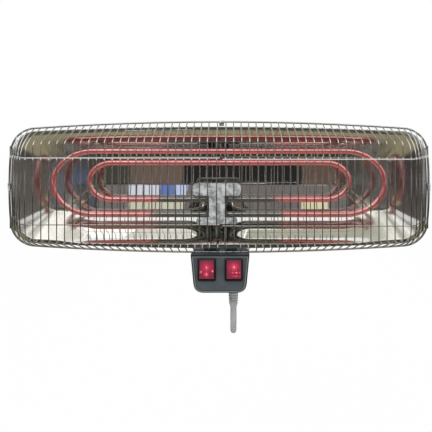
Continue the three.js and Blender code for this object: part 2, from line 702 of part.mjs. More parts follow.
function switchBoxFront() {
  const outer = loft([
    boxRing(BOX_TOP_Z, 4, BOX_FRONT_Y + 1),
    boxRing(BOX_TOP_Z, 3.4, BOX_FRONT_Y),
    boxRing(BOX_TOP_Z, 2.2, BOX_FRONT_Y),
    boxRing(BOX_TOP_Z, 0.8, BOX_FRONT_Y + 0.9),
    boxRing(BOX_TOP_Z, 0, BOX_FRONT_Y + 3),
    boxRing(BOX_TOP_Z, 0, BOX_SPLIT_Y),
    boxRing(BOX_TOP_Z, BOX_WALL, BOX_SPLIT_Y),
    boxRing(BOX_TOP_Z, BOX_WALL, BOX_FRONT_Y + 4.2),
  ].reverse());
  const windows = SWITCH_X.map((x) => switchBlock(
    x, SWITCH_BODY.width + 2 * GAP, SWITCH_BODY.height + 2 * GAP, BOX_FRONT_Y - 5, BOX_FRONT_Y + 9,
  ));
  const face = BOX_FRONT_Y + BOX_WALL;
  const bosses = boxBosses(face, BOX_SPLIT_Y);
  const holes = boxScrewPlaces().map((place) => screwHole(place, BOX_SPLIT_Y));
  return cut(join([outer, ...bosses]), [...windows, ...holes]);
}

function boxScrewPlaces() {
  return BOX_SCREWS.map(([x, z]) => [BOX_CENTRE_X + x, z]);
}

// Round bosses for the box's screws, between two depths.
function boxBosses(y0, y1) {
  return boxScrewPlaces().map(([x, z]) => (
    rod('y', BOSS_RADIUS, y1 - y0, [x, (y0 + y1) / 2, z], SCREW_SIDES)
  ));
}

function switchBoxBack() {
  const splitY = BOX_SPLIT_Y + GAP;
  const shell = loft([
    boxRing(BOX_SHOULDER_Z, BOX_WALL, BOX_BACK_Y - BOX_WALL),
    boxRing(BOX_SHOULDER_Z, BOX_WALL, splitY),
    boxRing(BOX_SHOULDER_Z, 0, splitY),
    boxRing(BOX_SHOULDER_Z, 0, BOX_BACK_Y - 3),
    boxRing(BOX_SHOULDER_Z, 2.4, BOX_BACK_Y),
  ].reverse());
  const { halfWidth, front, back, wall } = NECK;
  const c = BOX_CENTRE_X;
  const neckTop = neckBlock(c - halfWidth, c + halfWidth, front, back);
  const bore = box(
    c - halfWidth + wall, c + halfWidth - wall, front + wall, back - wall, BOX_SHOULDER_Z - 6, -40,
  );
  const glandHole = rod('z', GLAND_THREAD + GAP, 12, [GLAND_X, GLAND_Y, BOX_BOTTOM_Z]);
  const bosses = boxBosses(splitY, BOX_BACK_Y - BOX_WALL / 2);
  const screwHoles = boxScrewPlaces().map((place) => screwHole(place, BOX_SPLIT_Y, 2 * BOX_SCREW_LENGTH));
  return cut(join([shell, neckTop, ...bosses]), [bore, glandHole, ...screwHoles]);
}

// The neck rises from the box's shoulder and ends on the cover's sloping lower wall.
function neckBlock(x0, x1, y0, y1) {
  const side = new THREE.Shape();
  const under = (y) => -coverHalfHeight(y) - GAP - 0.3;
  side.moveTo(y0, BOX_SHOULDER_Z - 1);
  side.lineTo(y1, BOX_SHOULDER_Z - 1);
  side.lineTo(y1, under(y1));
  side.lineTo(y0, under(y0));
  side.closePath();
  const block = new THREE.ExtrudeGeometry(side, { depth: x1 - x0, bevelEnabled: false });
  return block.rotateX(Math.PI / 2).rotateZ(Math.PI / 2).translate(x0, 0, 0);
}

// ---------------------------------------------------------------- switches

// A block about the switches' level, given by its middle's x, its width and height and two depths.
function switchBlock(x, width, height, y0, y1) {
  return box(x - width / 2, x + width / 2, y0, y1, SWITCH_Z - height / 2, SWITCH_Z + height / 2);
}

function switchFrame(x) {
  const { width, height, depth, rearHeight } = SWITCH_BODY;
  const face = BOX_FRONT_Y - BEZEL.thick;
  const rearY = BOX_FRONT_Y + depth;
  const body = switchBlock(x, width, height, BOX_FRONT_Y + 0.5, BOX_SPLIT_Y - 0.5);
  const rear = switchBlock(x, width, rearHeight, BOX_SPLIT_Y - 1, rearY);
  const pocket = switchBlock(x, POCKET.width, POCKET.height, face - 1, face + POCKET.depth);
  const tabs = [-TAB.spread, 0, TAB.spread].map((offset) => (
    switchBlock(x + offset, TAB.width, TAB.thick, rearY - 1, rearY + TAB.length)
  ));
  return cut(join([bezelRing(x), body, rear, ...tabs]), [pocket]);
}

// The bezel: a flat frame with a bevelled outer edge, standing on the recessed face of the box.
function bezelRing(x) {
  const levels = [[0, BOX_FRONT_Y + 1 - GAP], [0, BOX_FRONT_Y - 0.8], [1, BOX_FRONT_Y - BEZEL.thick]];
  return loft(levels.map(([inset, y]) => {
    const half = BEZEL.height / 2 - inset;
    const shape = roundedShape(x, BEZEL.width / 2 - inset, SWITCH_Z + half, SWITCH_Z - half, BEZEL.corner);
    return shape.getPoints(2).slice(0, -1).map((p) => at(p.x, y, p.y)).reverse();
  }).reverse());
}

// The rocker: a shallow valley across the face, ends rounded about the pivot, upper end pressed in.
function rocker(x) {
  const { width, halfHeight, back } = ROCKER;
  const valley = -ROCKER_PIVOT_DEPTH - 0.4;
  const crest = valley - halfHeight * Math.tan(ROCKER_ANGLE);
  const reach = Math.hypot(halfHeight, crest);
  const lowAngle = Math.asin(-(crest) / reach);
  const side = new THREE.Shape();
  side.moveTo(valley, 0);
  side.lineTo(crest, halfHeight);
  for (let i = 1; i <= 4; i++) {
    const angle = lowAngle * (1 - i / 4);
    side.lineTo(-reach * Math.sin(angle), Math.min(reach * Math.cos(angle), halfHeight + 0.5));
  }
  side.lineTo(back, halfHeight * 0.45);
  side.lineTo(back, -halfHeight * 0.45);
  for (let i = 4; i >= 1; i--) {
    const angle = lowAngle * (1 - i / 4);
    side.lineTo(-reach * Math.sin(angle), -Math.min(reach * Math.cos(angle), halfHeight + 0.5));
  }
  side.lineTo(crest, -halfHeight);
  side.closePath();
  const body = new THREE.ExtrudeGeometry(side, { depth: width, bevelEnabled: false });
  body.rotateX(Math.PI / 2).rotateZ(Math.PI / 2);
  body.translate(-width / 2, 0, 0).rotateX(-ROCKER_ANGLE);
  return body.translate(x, ROCKER_PIVOT_Y, SWITCH_Z);
}

// ---------------------------------------------------------------- gland, cord and plug

// The gland: a hexagon collar under the box and a ribbed sleeve that tapers to the cord.
function gland() {
  const top = BOX_BOTTOM_Z - GAP;
  const sleeveTop = top - GLAND_COLLAR.high;
  const bore = CORD_RADIUS + GAP;
  const threadTop = top + 9;
  const profile = [
    [bore, threadTop], [GLAND_THREAD, threadTop], [GLAND_THREAD, top - 1], [7, top - 1], [7, sleeveTop],
  ];
  const rise = (sleeveTop - 1 - GLAND_BOTTOM_Z) / GLAND_RIBS;
  for (let i = 0; i < GLAND_RIBS; i++) {
    const z = sleeveTop - 1 - i * rise;
    const radius = 7.2 - 0.16 * i;
    profile.push([radius - 0.7, z], [radius, z - 0.35 * rise], [radius - 0.1, z - 0.7 * rise]);
  }
  profile.push([5.6, GLAND_BOTTOM_Z], [bore, GLAND_BOTTOM_Z], [bore, threadTop]);
  const sleeve = turned(profile, 12);
  const collar = flatRing(GLAND_COLLAR.radius, bore, GLAND_COLLAR.high, 6).translate(0, 0, sleeveTop);
  return join([sleeve, collar]).translate(GLAND_X, GLAND_Y, 0);
}

function glandNut() {
  const low = BOX_BOTTOM_Z + BOX_WALL + GAP;
  return flatRing(8.2, GLAND_THREAD + GAP, 4, 6).translate(GLAND_X, GLAND_Y, low);
}

// The coil's centre line: in along one layer, a half turn that climbs, and out along the other layer.
function coilPoint(turn) {
  const half = Math.PI;
  const climb = THREE.MathUtils.clamp((turn - COIL_LAP) / half, 0, 1);
  let radius = COIL_INNER - COIL_DIP * Math.sin(Math.PI * climb);
  if (turn < COIL_LAP) radius = COIL_OUTER - (COIL_PITCH * turn) / (2 * Math.PI);
  if (turn > COIL_LAP + half) radius = COIL_INNER + (COIL_PITCH * (turn - COIL_LAP - half)) / (2 * Math.PI);
  const level = THREE.MathUtils.smoothstep(climb, 0, 1);
  const y = COIL_ENTRY_Y + COIL_LAYER_PITCH * level;
  return at(radius * Math.cos(turn), y, COIL_CENTRE_Z + radius * Math.sin(turn));
}

function coilRoute() {
  const total = 2 * COIL_LAP + Math.PI;
  const steps = Math.round((total / (2 * Math.PI)) * COIL_STEPS);
  const points = [];
  for (let i = 0; i <= steps; i++) points.push(coilPoint((total * i) / steps));
  const first = points[0].clone();
  const last = points.at(-1).clone();
  const straight = 2 * CORD_RADIUS;
  return [first.setZ(first.z - straight), ...points, last.setZ(last.z - straight)];
}

// Least distance from the coil's surface to itself, for points more than a third of a turn apart.
function coilGap(route) {
  let least = Infinity;
  const fine = new Route(route).getPoints(route.length * 4);
  const apart = Math.round((COIL_STEPS * 4) / 3);
  for (let i = 0; i < fine.length; i++) {
    for (let j = i + apart; j < fine.length; j++) {
      least = Math.min(least, fine[i].distanceTo(fine[j]));
    }
  }
  return least - 2 * CORD_RADIUS;
}

const COIL_ROUTE = coilRoute();
console.log(`least gap of the coil to itself: ${coilGap(COIL_ROUTE).toFixed(2)} mm`);

// From the gland straight down, round behind the switch box and up to the coil.
function stretchRoute() {
  const top = GLAND_BOTTOM_Z - GAP;
  const low = top - DROP;
  const points = [at(GLAND_X, GLAND_Y, top), at(GLAND_X, GLAND_Y, top - DROP * 0.8)];
  for (let i = 0; i <= 10; i++) {
    const angle = (Math.PI * i) / 10;
    points.push(at(
      GLAND_X, GLAND_Y + BEND_RADIUS * (1 - Math.cos(angle)), low - BEND_RADIUS * Math.sin(angle),
    ));
  }
  const entry = COIL_ROUTE[0];
  const rise = new THREE.CubicBezierCurve3(
    points.at(-1), at(GLAND_X, GLAND_Y + 2 * BEND_RADIUS, low + 100),
    at(entry.x, entry.y, entry.z - 75), at(entry.x, entry.y, entry.z - GAP - CORD_RADIUS * 2),
  );
  return [...points, ...rise.getPoints(12).slice(1), at(entry.x, entry.y, entry.z - GAP)];
}

const PLUG_TOP_Z = COIL_ROUTE.at(-1).z - GAP - TAIL_LENGTH;
const PLUG_X = -COIL_OUTER;
const PLUG_Y = COIL_ROUTE.at(-1).y + TAIL_SHIFT;

function tailRoute() {
  const start = COIL_ROUTE.at(-1);
  const points = [at(start.x, start.y, start.z - GAP)];
  for (const share of [0, 0.25, 0.5, 0.75, 1]) {
    const shift = TAIL_SHIFT * THREE.MathUtils.smoothstep(share, 0, 1);
    points.push(at(start.x, start.y + shift, start.z - GAP - 5 - (TAIL_LENGTH - 10) * share));
  }
  return [...points, at(start.x, start.y + TAIL_SHIFT, PLUG_TOP_Z)];
}

// A two-pin plug with a round body, hanging pins down.
function plugBody() {
  const top = PLUG_TOP_Z - GAP;
  const profile = [
    [0, top], [6, top], [7, top - 2], [8, top - 12], [12, top - 16], [PLUG_RADIUS - 1, top - 20],
    [PLUG_RADIUS, top - 25], [PLUG_RADIUS, top - PLUG_LENGTH + 2],
    [PLUG_RADIUS - 1, top - PLUG_LENGTH], [0, top - PLUG_LENGTH],
  ];
  return turned(profile, 18).translate(PLUG_X, PLUG_Y, 0);
}

function plugPin(side) {
  const top = PLUG_TOP_Z - PLUG_LENGTH - 2 * GAP;
  const { spread, radius, length } = PLUG_PIN;
  const profile = [
    [0, top], [radius, top], [radius, top - length + 2], [radius / 2, top - length], [0, top - length],
  ];
  return turned(profile, 10).translate(PLUG_X + side * spread, PLUG_Y, 0);
}

// A strap round the cord's turns at the bottom of the coil.
function coilTie() {
  const { halfWidth, band, slack } = TIE;
  const z0 = COIL_CENTRE_Z - COIL_OUTER - CORD_RADIUS - slack;
  const z1 = COIL_CENTRE_Z - COIL_INNER + CORD_RADIUS + slack;
  const y0 = COIL_ENTRY_Y - CORD_RADIUS - slack;
  const y1 = COIL_ENTRY_Y + COIL_LAYER_PITCH + CORD_RADIUS + slack;
  const outer = box(-halfWidth, halfWidth, y0 - band, y1 + band, z0 - band, z1 + band);
  return cut(outer, [box(-2 * halfWidth, 2 * halfWidth, y0, y1, z0, z1)]);
}

// ---------------------------------------------------------------- brackets and fasteners

function earShape(halfHeight, fromY, toY, boltRadius) {
  const shape = new THREE.Shape();
  shape.moveTo(fromY, -halfHeight);
  shape.lineTo(toY, -halfHeight);
  const turn = toY > fromY ? 1 : -1;
  shape.absarc(toY, 0, halfHeight, -Math.PI / 2, Math.PI / 2, turn < 0);
  shape.lineTo(fromY, halfHeight);
  shape.closePath();
  const hole = new THREE.Path();
  hole.absarc(PIVOT_Y, 0, boltRadius, 0, 2 * Math.PI);
  shape.holes.push(hole);
  return shape;
}

function ear(halfHeight, fromY, x0, x1) {
  const shape = earShape(halfHeight, fromY, PIVOT_Y, BOLT_RADIUS + GAP);
  const plate = new THREE.ExtrudeGeometry(shape, { depth: x1 - x0, bevelEnabled: false, curveSegments: 6 });
  return plate.rotateX(Math.PI / 2).rotateZ(Math.PI / 2).translate(x0, 0, 0);
}

function mountPlate(halfWidth, halfHeight, radius, y0) {
  const shape = roundedShape(0, halfWidth, halfHeight, -halfHeight, radius);
  const plate = new THREE.ExtrudeGeometry(shape, { depth: PLATE, bevelEnabled: false, curveSegments: 3 });
  return plate.rotateX(Math.PI / 2).translate(0, y0 + PLATE, 0);
}

function headBracket() {
  const y0 = BACK_Y + GAP;
  const plate = mountPlate(HEAD_PLATE.halfWidth, HEAD_PLATE.halfHeight, 6, y0);
  const ears = [-1, 1].map((side) => {
    const xs = [side * EAR_OUTER_X, side * (EAR_OUTER_X - PLATE)].sort((a, b) => a - b);
    return ear(EAR_HALF_HEIGHT, y0 + 1, xs[0], xs[1]);
  });
  const holes = BRACKET_SCREWS.map((place) => screwHole(place, y0));
  return cut(join([plate, ...ears]), holes);
}

function wallBracket() {
  const plate = mountPlate(WALL_PLATE.halfWidth, WALL_PLATE.halfHeight, 8, -PLATE);
  const inner = EAR_OUTER_X - PLATE - GAP;
  const arms = [-1, 1].map((side) => {
    const xs = [side * inner, side * (inner - PLATE)].sort((a, b) => a - b);
    return ear(ARM_HALF_HEIGHT, -1, xs[0], xs[1]);
  });
  const slots = WALL_SLOTS.map(([x, z]) => {
    const { halfLength, halfHeight } = WALL_SLOT;
    const shape = roundedShape(x, halfLength, z + halfHeight, z - halfHeight, halfHeight - 0.01);
    const slot = new THREE.ExtrudeGeometry(shape, { depth: 10, bevelEnabled: false, curveSegments: 2 });
    return slot.rotateX(Math.PI / 2).translate(0, 4, 0);
  });
  return cut(join([plate, ...arms]), slots);
}

// A hexagon bolt through the ear and the arm, head outside.
function tiltBolt(side) {
  const headX = EAR_OUTER_X + WASHER.thick + 2 * GAP;
  const head = rod('x', HEXAGON.radius, HEXAGON.head, [side * (headX + HEXAGON.head / 2), PIVOT_Y, 0], 6);
  const shankEnd = EAR_OUTER_X - 2 * PLATE - GAP - 7;
  const length = headX + 1 - shankEnd;
  const shank = rod('x', BOLT_RADIUS, length, [side * (shankEnd + length / 2), PIVOT_Y, 0], 16);
  return join([head, shank]);
}

// A flat ring standing on z = 0: a washer, or with six sides a nut.
function flatRing(outer, hole, thick, sides) {
  const shape = new THREE.Shape();
  for (let i = 0; i < sides; i++) {
    const angle = (2 * Math.PI * i) / sides;
    shape[i ? 'lineTo' : 'moveTo'](outer * Math.cos(angle), outer * Math.sin(angle));
  }
  shape.closePath();
  const bore = new THREE.Path();
  bore.absarc(0, 0, hole, 0, 2 * Math.PI);
  shape.holes.push(bore);
  return new THREE.ExtrudeGeometry(shape, { depth: thick, bevelEnabled: false, curveSegments: 8 });
}

function tiltWasher(side) {
  const washer = flatRing(WASHER.radius, BOLT_RADIUS + GAP, WASHER.thick, 20).rotateY((side * Math.PI) / 2);
  return washer.translate(side * (EAR_OUTER_X + GAP), PIVOT_Y, 0);
}

function tiltNut(side) {
  const nut = flatRing(HEXAGON.radius, BOLT_RADIUS + GAP, HEXAGON.nut, 6).rotateY((-side * Math.PI) / 2);
  return nut.translate(side * (EAR_OUTER_X - 2 * PLATE - 2 * GAP), PIVOT_Y, 0);
}

// A pan-head screw along +Y: the head's flat underside is at y, the shank runs towards the front.
function panScrew([x, z], y, shank) {
  const head = [[3.8, 0], [3.6, 1], [2.2, 2], [0, 2.2]];
  const profile = [[0, -shank], [SCREW_RADIUS, -shank], [SCREW_RADIUS, 0], ...head];
  const screw = turned(profile, SCREW_SIDES).rotateX(-Math.PI / 2);
  return screw.translate(x, y, z);
}

// The tool that cuts a screw's clearance hole, given by its middle.
function screwHole([x, z], y, length = 16) {
  return rod('y', SCREW_RADIUS + GAP, length, [x, y, z], SCREW_SIDES);
}

// ---------------------------------------------------------------- guard clips

// A clip: a block wrapped round the two ends of the rim wire, with a tongue to the cover's skirt.
function centreClip(side) {
  const x = CENTRE_WIRE_X + FIRST_PITCH / 2;
  const z = GUARD_RIM.halfHeight;
  const clear = RIM_WIRE_RADIUS + GAP;
  const [x0, x1] = [x - 4, x + 3.4]; // between the two uprights beside the joint
  const back = GUARD_RIM_Y + clear;
  const t = CLIP_SHEET;
  const wrap = box(x0, x1, GUARD_RIM_Y - clear - t, back + t, z - clear - t, z + clear + t);
  const channel = box(x0 - 5, x1 + 5, GUARD_RIM_Y - clear, back, z - clear, z + clear);
  const skirt = COVER_RIM.halfHeight + GAP;
  const tongue = box(x0, x1, back, back + t, skirt, z);
  const foot = box(x0, x1, GUARD_RIM_Y - t, back + t, skirt, skirt + t);
  const clip = cut(join([wrap, tongue, foot]), [channel]);
  return side > 0 ? clip : clip.rotateY(Math.PI).translate(2 * x, 0, 0);
}

function endClip(side) {
  const x = GUARD_RIM.halfWidth;
  const clear = RIM_WIRE_RADIUS + GAP;
  const back = GUARD_RIM_Y + clear;
  const t = CLIP_SHEET;
  const half = END_CLIP_HALF;
  const wrap = box(x - clear - t, x + clear + t, GUARD_RIM_Y - clear - t, back + t, -half, half);
  const channel = box(x - clear, x + clear, GUARD_RIM_Y - clear, back, -2 * half, 2 * half);
  const skirt = COVER_RIM.halfWidth + GAP;
  const tongue = box(skirt, x, back, back + t, -half, half);
  const clip = cut(join([wrap, tongue]), [channel]);
  return side > 0 ? clip : clip.rotateZ(Math.PI).translate(0, 2 * GUARD_RIM_Y, 0);
}

// ---------------------------------------------------------------- materials and assembly

const finish = (color, roughness, metalness) => ({ color, roughness, metalness });
const FINISHES = {
  polished: finish(0xc9c9c4, 0.12, 1),
  chrome: finish(0xd8d8d8, 0.1, 1),
  galvanised: finish(0xa8adb0, 0.35, 1),
  glowing: finish(0xb5433c, 0.5, 0),
  ceramic: finish(0xe4dfd2, 0.6, 0),
  coverGrey: finish(0x6d7072, 0.5, 0.6),
  slate: finish(0x4b5255, 0.5, 0),
  black: finish(0x15161a, 0.4, 0),
  red: finish(0xc8142c, 0.25, 0),
  pale: finish(0xb9b9b6, 0.6, 0),
  bracketGrey: finish(0x8c8f91, 0.45, 0.7),
};

const heater = new THREE.Group();

function add(name, geometry, look) {
  const mesh = new THREE.Mesh(geometry, new THREE.MeshStandardMaterial(FINISHES[look]));
  mesh.name = name;
  heater.add(mesh);
}

function addFasteners() {
  BRACKET_SCREWS.forEach((place, i) => {
    add(`bracket_screw_${i + 1}`, panScrew(place, BACK_Y + PLATE + 2 * GAP, BRACKET_SCREW_LENGTH), 'galvanised');
  });
  boxScrewPlaces().forEach((place, i) => {
    add(`box_screw_${i + 1}`, panScrew(place, BOX_BACK_Y + GAP, BOX_SCREW_LENGTH), 'galvanised');
  });
}

function addHead() {
  add('reflector', reflector(), 'polished');
  add('rear_cover', rearCover(), 'coverGrey');
  add('left_grille', guardHalf(-1), 'chrome');
  add('right_grille', guardHalf(1), 'chrome');
  add('grille_clip_top', centreClip(1), 'galvanised');
  add('grille_clip_bottom', centreClip(-1), 'galvanised');
  add('grille_clip_left', endClip(-1), 'galvanised');
  add('grille_clip_right', endClip(1), 'galvanised');
}

function addElements() {
  add('outer_element', element(OUTER_LOOP), 'glowing');
  add('inner_element', element(INNER_LOOP), 'glowing');
  add('terminal_bracket', terminalBracket(), 'galvanised');
  for (const [side, word] of [[-1, 'left'], [1, 'right']]) {
    add(`outer_bush_${word}`, bush(side, OUTER_LOOP.bottom), 'ceramic');
    add(`inner_bush_${word}`, bush(side, INNER_LOOP.bottom), 'ceramic');
    add(`element_spacer_${word}`, elementSpacer(side), 'galvanised');
  }
}

function addLeads() {
  add('lead_grommet', leadGrommet(), 'black');
  add('terminal_block', terminalBlock(), 'pale');
  add('switch_lead_left', switchLead(0), 'black');
  add('switch_lead_right', switchLead(1), 'black');
  add('element_lead', elementLead(), 'ceramic');
}

function addSwitchBox() {
  add('switch_box_front', switchBoxFront(), 'slate');
  add('switch_box_back', switchBoxBack(), 'slate');
  SWITCH_X.forEach((x, i) => {
    const word = ['left', 'right'][i];
    add(`${word}_switch_frame`, switchFrame(x), 'black');
    add(`${word}_rocker`, rocker(x), 'red');
  });
  add('cable_gland', gland(), 'pale');
  add('gland_nut', glandNut(), 'pale');
}

function addCord() {
  add('cord_stretch', tube(stretchRoute(), CORD_RADIUS, 8), 'pale');
  add('cord_coil', tube(COIL_ROUTE, CORD_RADIUS, 6), 'pale');
  add('cord_tail', tube(tailRoute(), CORD_RADIUS, 8), 'pale');
  add('coil_tie', coilTie(), 'black');
  add('plug_body', plugBody(), 'pale');
  add('plug_pin_left', plugPin(-1), 'galvanised');
  add('plug_pin_right', plugPin(1), 'galvanised');
}

function addBrackets() {
  add('head_bracket', headBracket(), 'bracketGrey');
  add('wall_bracket', wallBracket(), 'bracketGrey');
  for (const [side, word] of [[-1, 'left'], [1, 'right']]) {
    add(`tilt_bolt_${word}`, tiltBolt(side), 'galvanised');
    add(`tilt_washer_${word}`, tiltWasher(side), 'galvanised');
    add(`tilt_nut_${word}`, tiltNut(side), 'galvanised');
  }
  addFasteners();
}

addBrackets();
addHead();
addElements();
addLeads();
addSwitchBox();
addCord();

export default heater;
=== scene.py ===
"""Looks of an electric bar heater: a tilting infrared head on a wall bracket, with guard and cord."""

from __future__ import annotations

import logging
import math
from dataclasses import astuple, dataclass, replace
from enum import Enum

import bmesh
import bpy
import numpy as np
from numpy.typing import NDArray
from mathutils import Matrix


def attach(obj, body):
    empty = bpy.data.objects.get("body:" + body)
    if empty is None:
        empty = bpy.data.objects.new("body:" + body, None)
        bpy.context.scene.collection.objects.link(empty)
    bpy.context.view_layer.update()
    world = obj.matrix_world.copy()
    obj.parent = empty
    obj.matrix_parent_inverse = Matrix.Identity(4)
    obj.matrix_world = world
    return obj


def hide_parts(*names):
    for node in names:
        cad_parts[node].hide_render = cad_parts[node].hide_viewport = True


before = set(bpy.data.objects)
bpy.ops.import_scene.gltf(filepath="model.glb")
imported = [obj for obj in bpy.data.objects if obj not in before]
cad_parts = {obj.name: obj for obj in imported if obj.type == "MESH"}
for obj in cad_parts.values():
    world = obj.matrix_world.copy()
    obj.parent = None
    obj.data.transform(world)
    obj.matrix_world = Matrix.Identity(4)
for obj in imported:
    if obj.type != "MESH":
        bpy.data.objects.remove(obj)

Array = NDArray[np.float64]
Vec = tuple[float, float, float]
Pair = tuple[float, float]
Sizes = tuple[float, ...]
Stops = tuple[tuple[float, Vec], ...]
Socket = bpy.types.NodeSocket
Material = bpy.types.Material
Piece = bpy.types.Object

logging.basicConfig(level=logging.INFO, format="%(message)s")
LOG = logging.getLogger("bar_heater")

MM = 0.001
X_AXIS, Y_AXIS, Z_AXIS = np.eye(3)
HEAD = "head"
WALL = "wall_mount"
# Points of a CAD copy nearer than this become one, and so do faces flatter to each other than this.
MERGE = 0.02 * MM
FLAT_ANGLE = math.radians(0.6)
# Edges sharper than this are rounded.
BEVEL_ANGLE = math.radians(38)
# The whole range of a share, and the range where most of a noise lies.
UNIT = (0.0, 1.0)
MIDDLE = (0.3, 0.7)


class Side(Enum):
    """The viewer's left or right half of the heater."""

    LEFT = -1
    RIGHT = 1

    @property
    def word(self) -> str:
        """The side's name in lower case."""
        return self.name.lower()


# ------------------------------------------------------------------ meshes


@dataclass
class Skin:
    """A mesh before it becomes an object: points, and faces as lists of point numbers."""

    points: Array
    faces: list[list[int]]

    def outward(self) -> Skin:
        """The same closed skin with its faces pointing out, as the sign of its volume tells.

        Returns:
            The skin itself, or one with its faces turned round.
        """
        fans = np.array([(f[0], f[i], f[i + 1]) for f in self.faces for i in range(1, len(f) - 1)])
        a, b, c = (self.points[fans[:, k]] for k in range(3))
        volume = np.einsum("ij,ij->i", a, np.cross(b, c)).sum()
        return self if volume >= 0 else Skin(self.points, [face[::-1] for face in self.faces])


def grid_faces(rows: int, columns: int, wrap_rows: bool) -> Array:
    """Quads between neighbouring rows of a grid whose columns close on themselves.

    Args:
        rows: number of rings.
        columns: number of points in each ring.
        wrap_rows: whether the last ring joins the first.

    Returns:
        One row of four point numbers for each quad.
    """
    row = np.arange(rows if wrap_rows else rows - 1)[:, None]
    column = np.arange(columns)[None, :]
    after = (column + 1) % columns
    below = (row + 1) % rows
    quads = (row * columns + column, row * columns + after, below * columns + after, below * columns + column)
    return np.stack(np.broadcast_arrays(*quads), axis=-1).reshape(-1, 4)


def rings_skin(rings: Array, wrap: bool = False) -> Skin:
    """A closed skin through rings of points.

    Args:
        rings: array of rings, each of equal point count.
        wrap: joins the last ring to the first; otherwise both ends close on a pole at their middle.

    Returns:
        The closed skin, faces outwards.
    """
    count, around, _ = rings.shape
    faces = grid_faces(count, around, wrap).tolist()
    points = rings.reshape(-1, 3)
    if not wrap:
        poles = np.stack([rings[0].mean(axis=0), rings[-1].mean(axis=0)])
        first, last = len(points), len(points) + 1
        points = np.concatenate([points, poles])
        here = np.arange(around)
        after = (here + 1) % around
        base = (count - 1) * around
        faces += np.stack([np.full(around, first), after, here], axis=1).tolist()
        faces += np.stack([np.full(around, last), base + here, base + after], axis=1).tolist()
    return Skin(points, faces).outward()


def directions(path: Array) -> Array:
    """Unit tangents of a path: at each point the mean of the two unit segments that meet there.

    Args:
        path: the path's points.

    Returns:
        One unit vector for each point.
    """
    steps = np.diff(path, axis=0)
    steps /= np.linalg.norm(steps, axis=1, keepdims=True)
    tangents = np.concatenate([steps[:1], steps[:-1] + steps[1:], steps[-1:]])
    return tangents / np.linalg.norm(tangents, axis=1, keepdims=True)


def sweep(path: Array, radius: float, sides: int, reference: Array) -> Skin:
    """A round bar along a path: circle(angle) = path + radius * (cos * side + sin * up) at every point.

    Args:
        path: the centre line's points.
        radius: the bar's radius.
        sides: points in the circle.
        reference: a direction the path never runs along; side is what it leaves square to the path.

    Returns:
        The closed bar.
    """
    tangent = directions(path)
    side = reference - (tangent @ reference)[:, None] * tangent
    side /= np.linalg.norm(side, axis=1, keepdims=True)
    up = np.cross(tangent, side)
    angle = np.linspace(0, 2 * np.pi, sides, endpoint=False)
    circle = np.cos(angle)[None, :, None] * side[:, None] + np.sin(angle)[None, :, None] * up[:, None]
    return rings_skin(path[:, None] + radius * circle)


def lathe(profile: Array, sides: int) -> Skin:
    """A closed profile turned about the Z axis, as a ring's is: point = (r cos a, r sin a, h).

    Args:
        profile: pairs of radius and height.
        sides: points around the axis.

    Returns:
        The closed skin.
    """
    angle = np.linspace(0, 2 * np.pi, sides, endpoint=False)
    radius, height = profile[:, 0, None], profile[:, 1, None]
    rings = np.stack([radius * np.cos(angle), radius * np.sin(angle), height + 0 * angle], axis=-1)
    return rings_skin(rings, wrap=True)


def placed(skin: Skin, place: Array, turn: Array = np.eye(3)) -> Skin:
    """The skin turned by a 3 by 3 matrix and moved to a place."""
    return Skin(skin.points @ turn.T + place, skin.faces).outward()


def quadratic(start: Array, bend: Array, end: Array, steps: int) -> Array:
    """A quadratic curve from start to end that leans towards bend: (1-t)^2 s + 2t(1-t) b + t^2 e."""
    t = np.linspace(0, 1, steps)[:, None]
    return (1 - t) ** 2 * start + 2 * t * (1 - t) * bend + t**2 * end


def ease(value: Array) -> Array:
    """A smooth step: the value clipped to 0 and 1, then t^2 (3 - 2t)."""
    t = np.clip(value, 0, 1)
    return t**2 * (3 - 2 * t)


# ------------------------------------------------------------------ pieces


def linked(name: str, mesh: bpy.types.Mesh) -> Piece:
    """A new object of a mesh, in the scene.

    Args:
        name: the object's name.
        mesh: its mesh.

    Returns:
        The object.
    """
    piece = bpy.data.objects.new(name, mesh)
    bpy.context.scene.collection.objects.link(piece)
    return piece


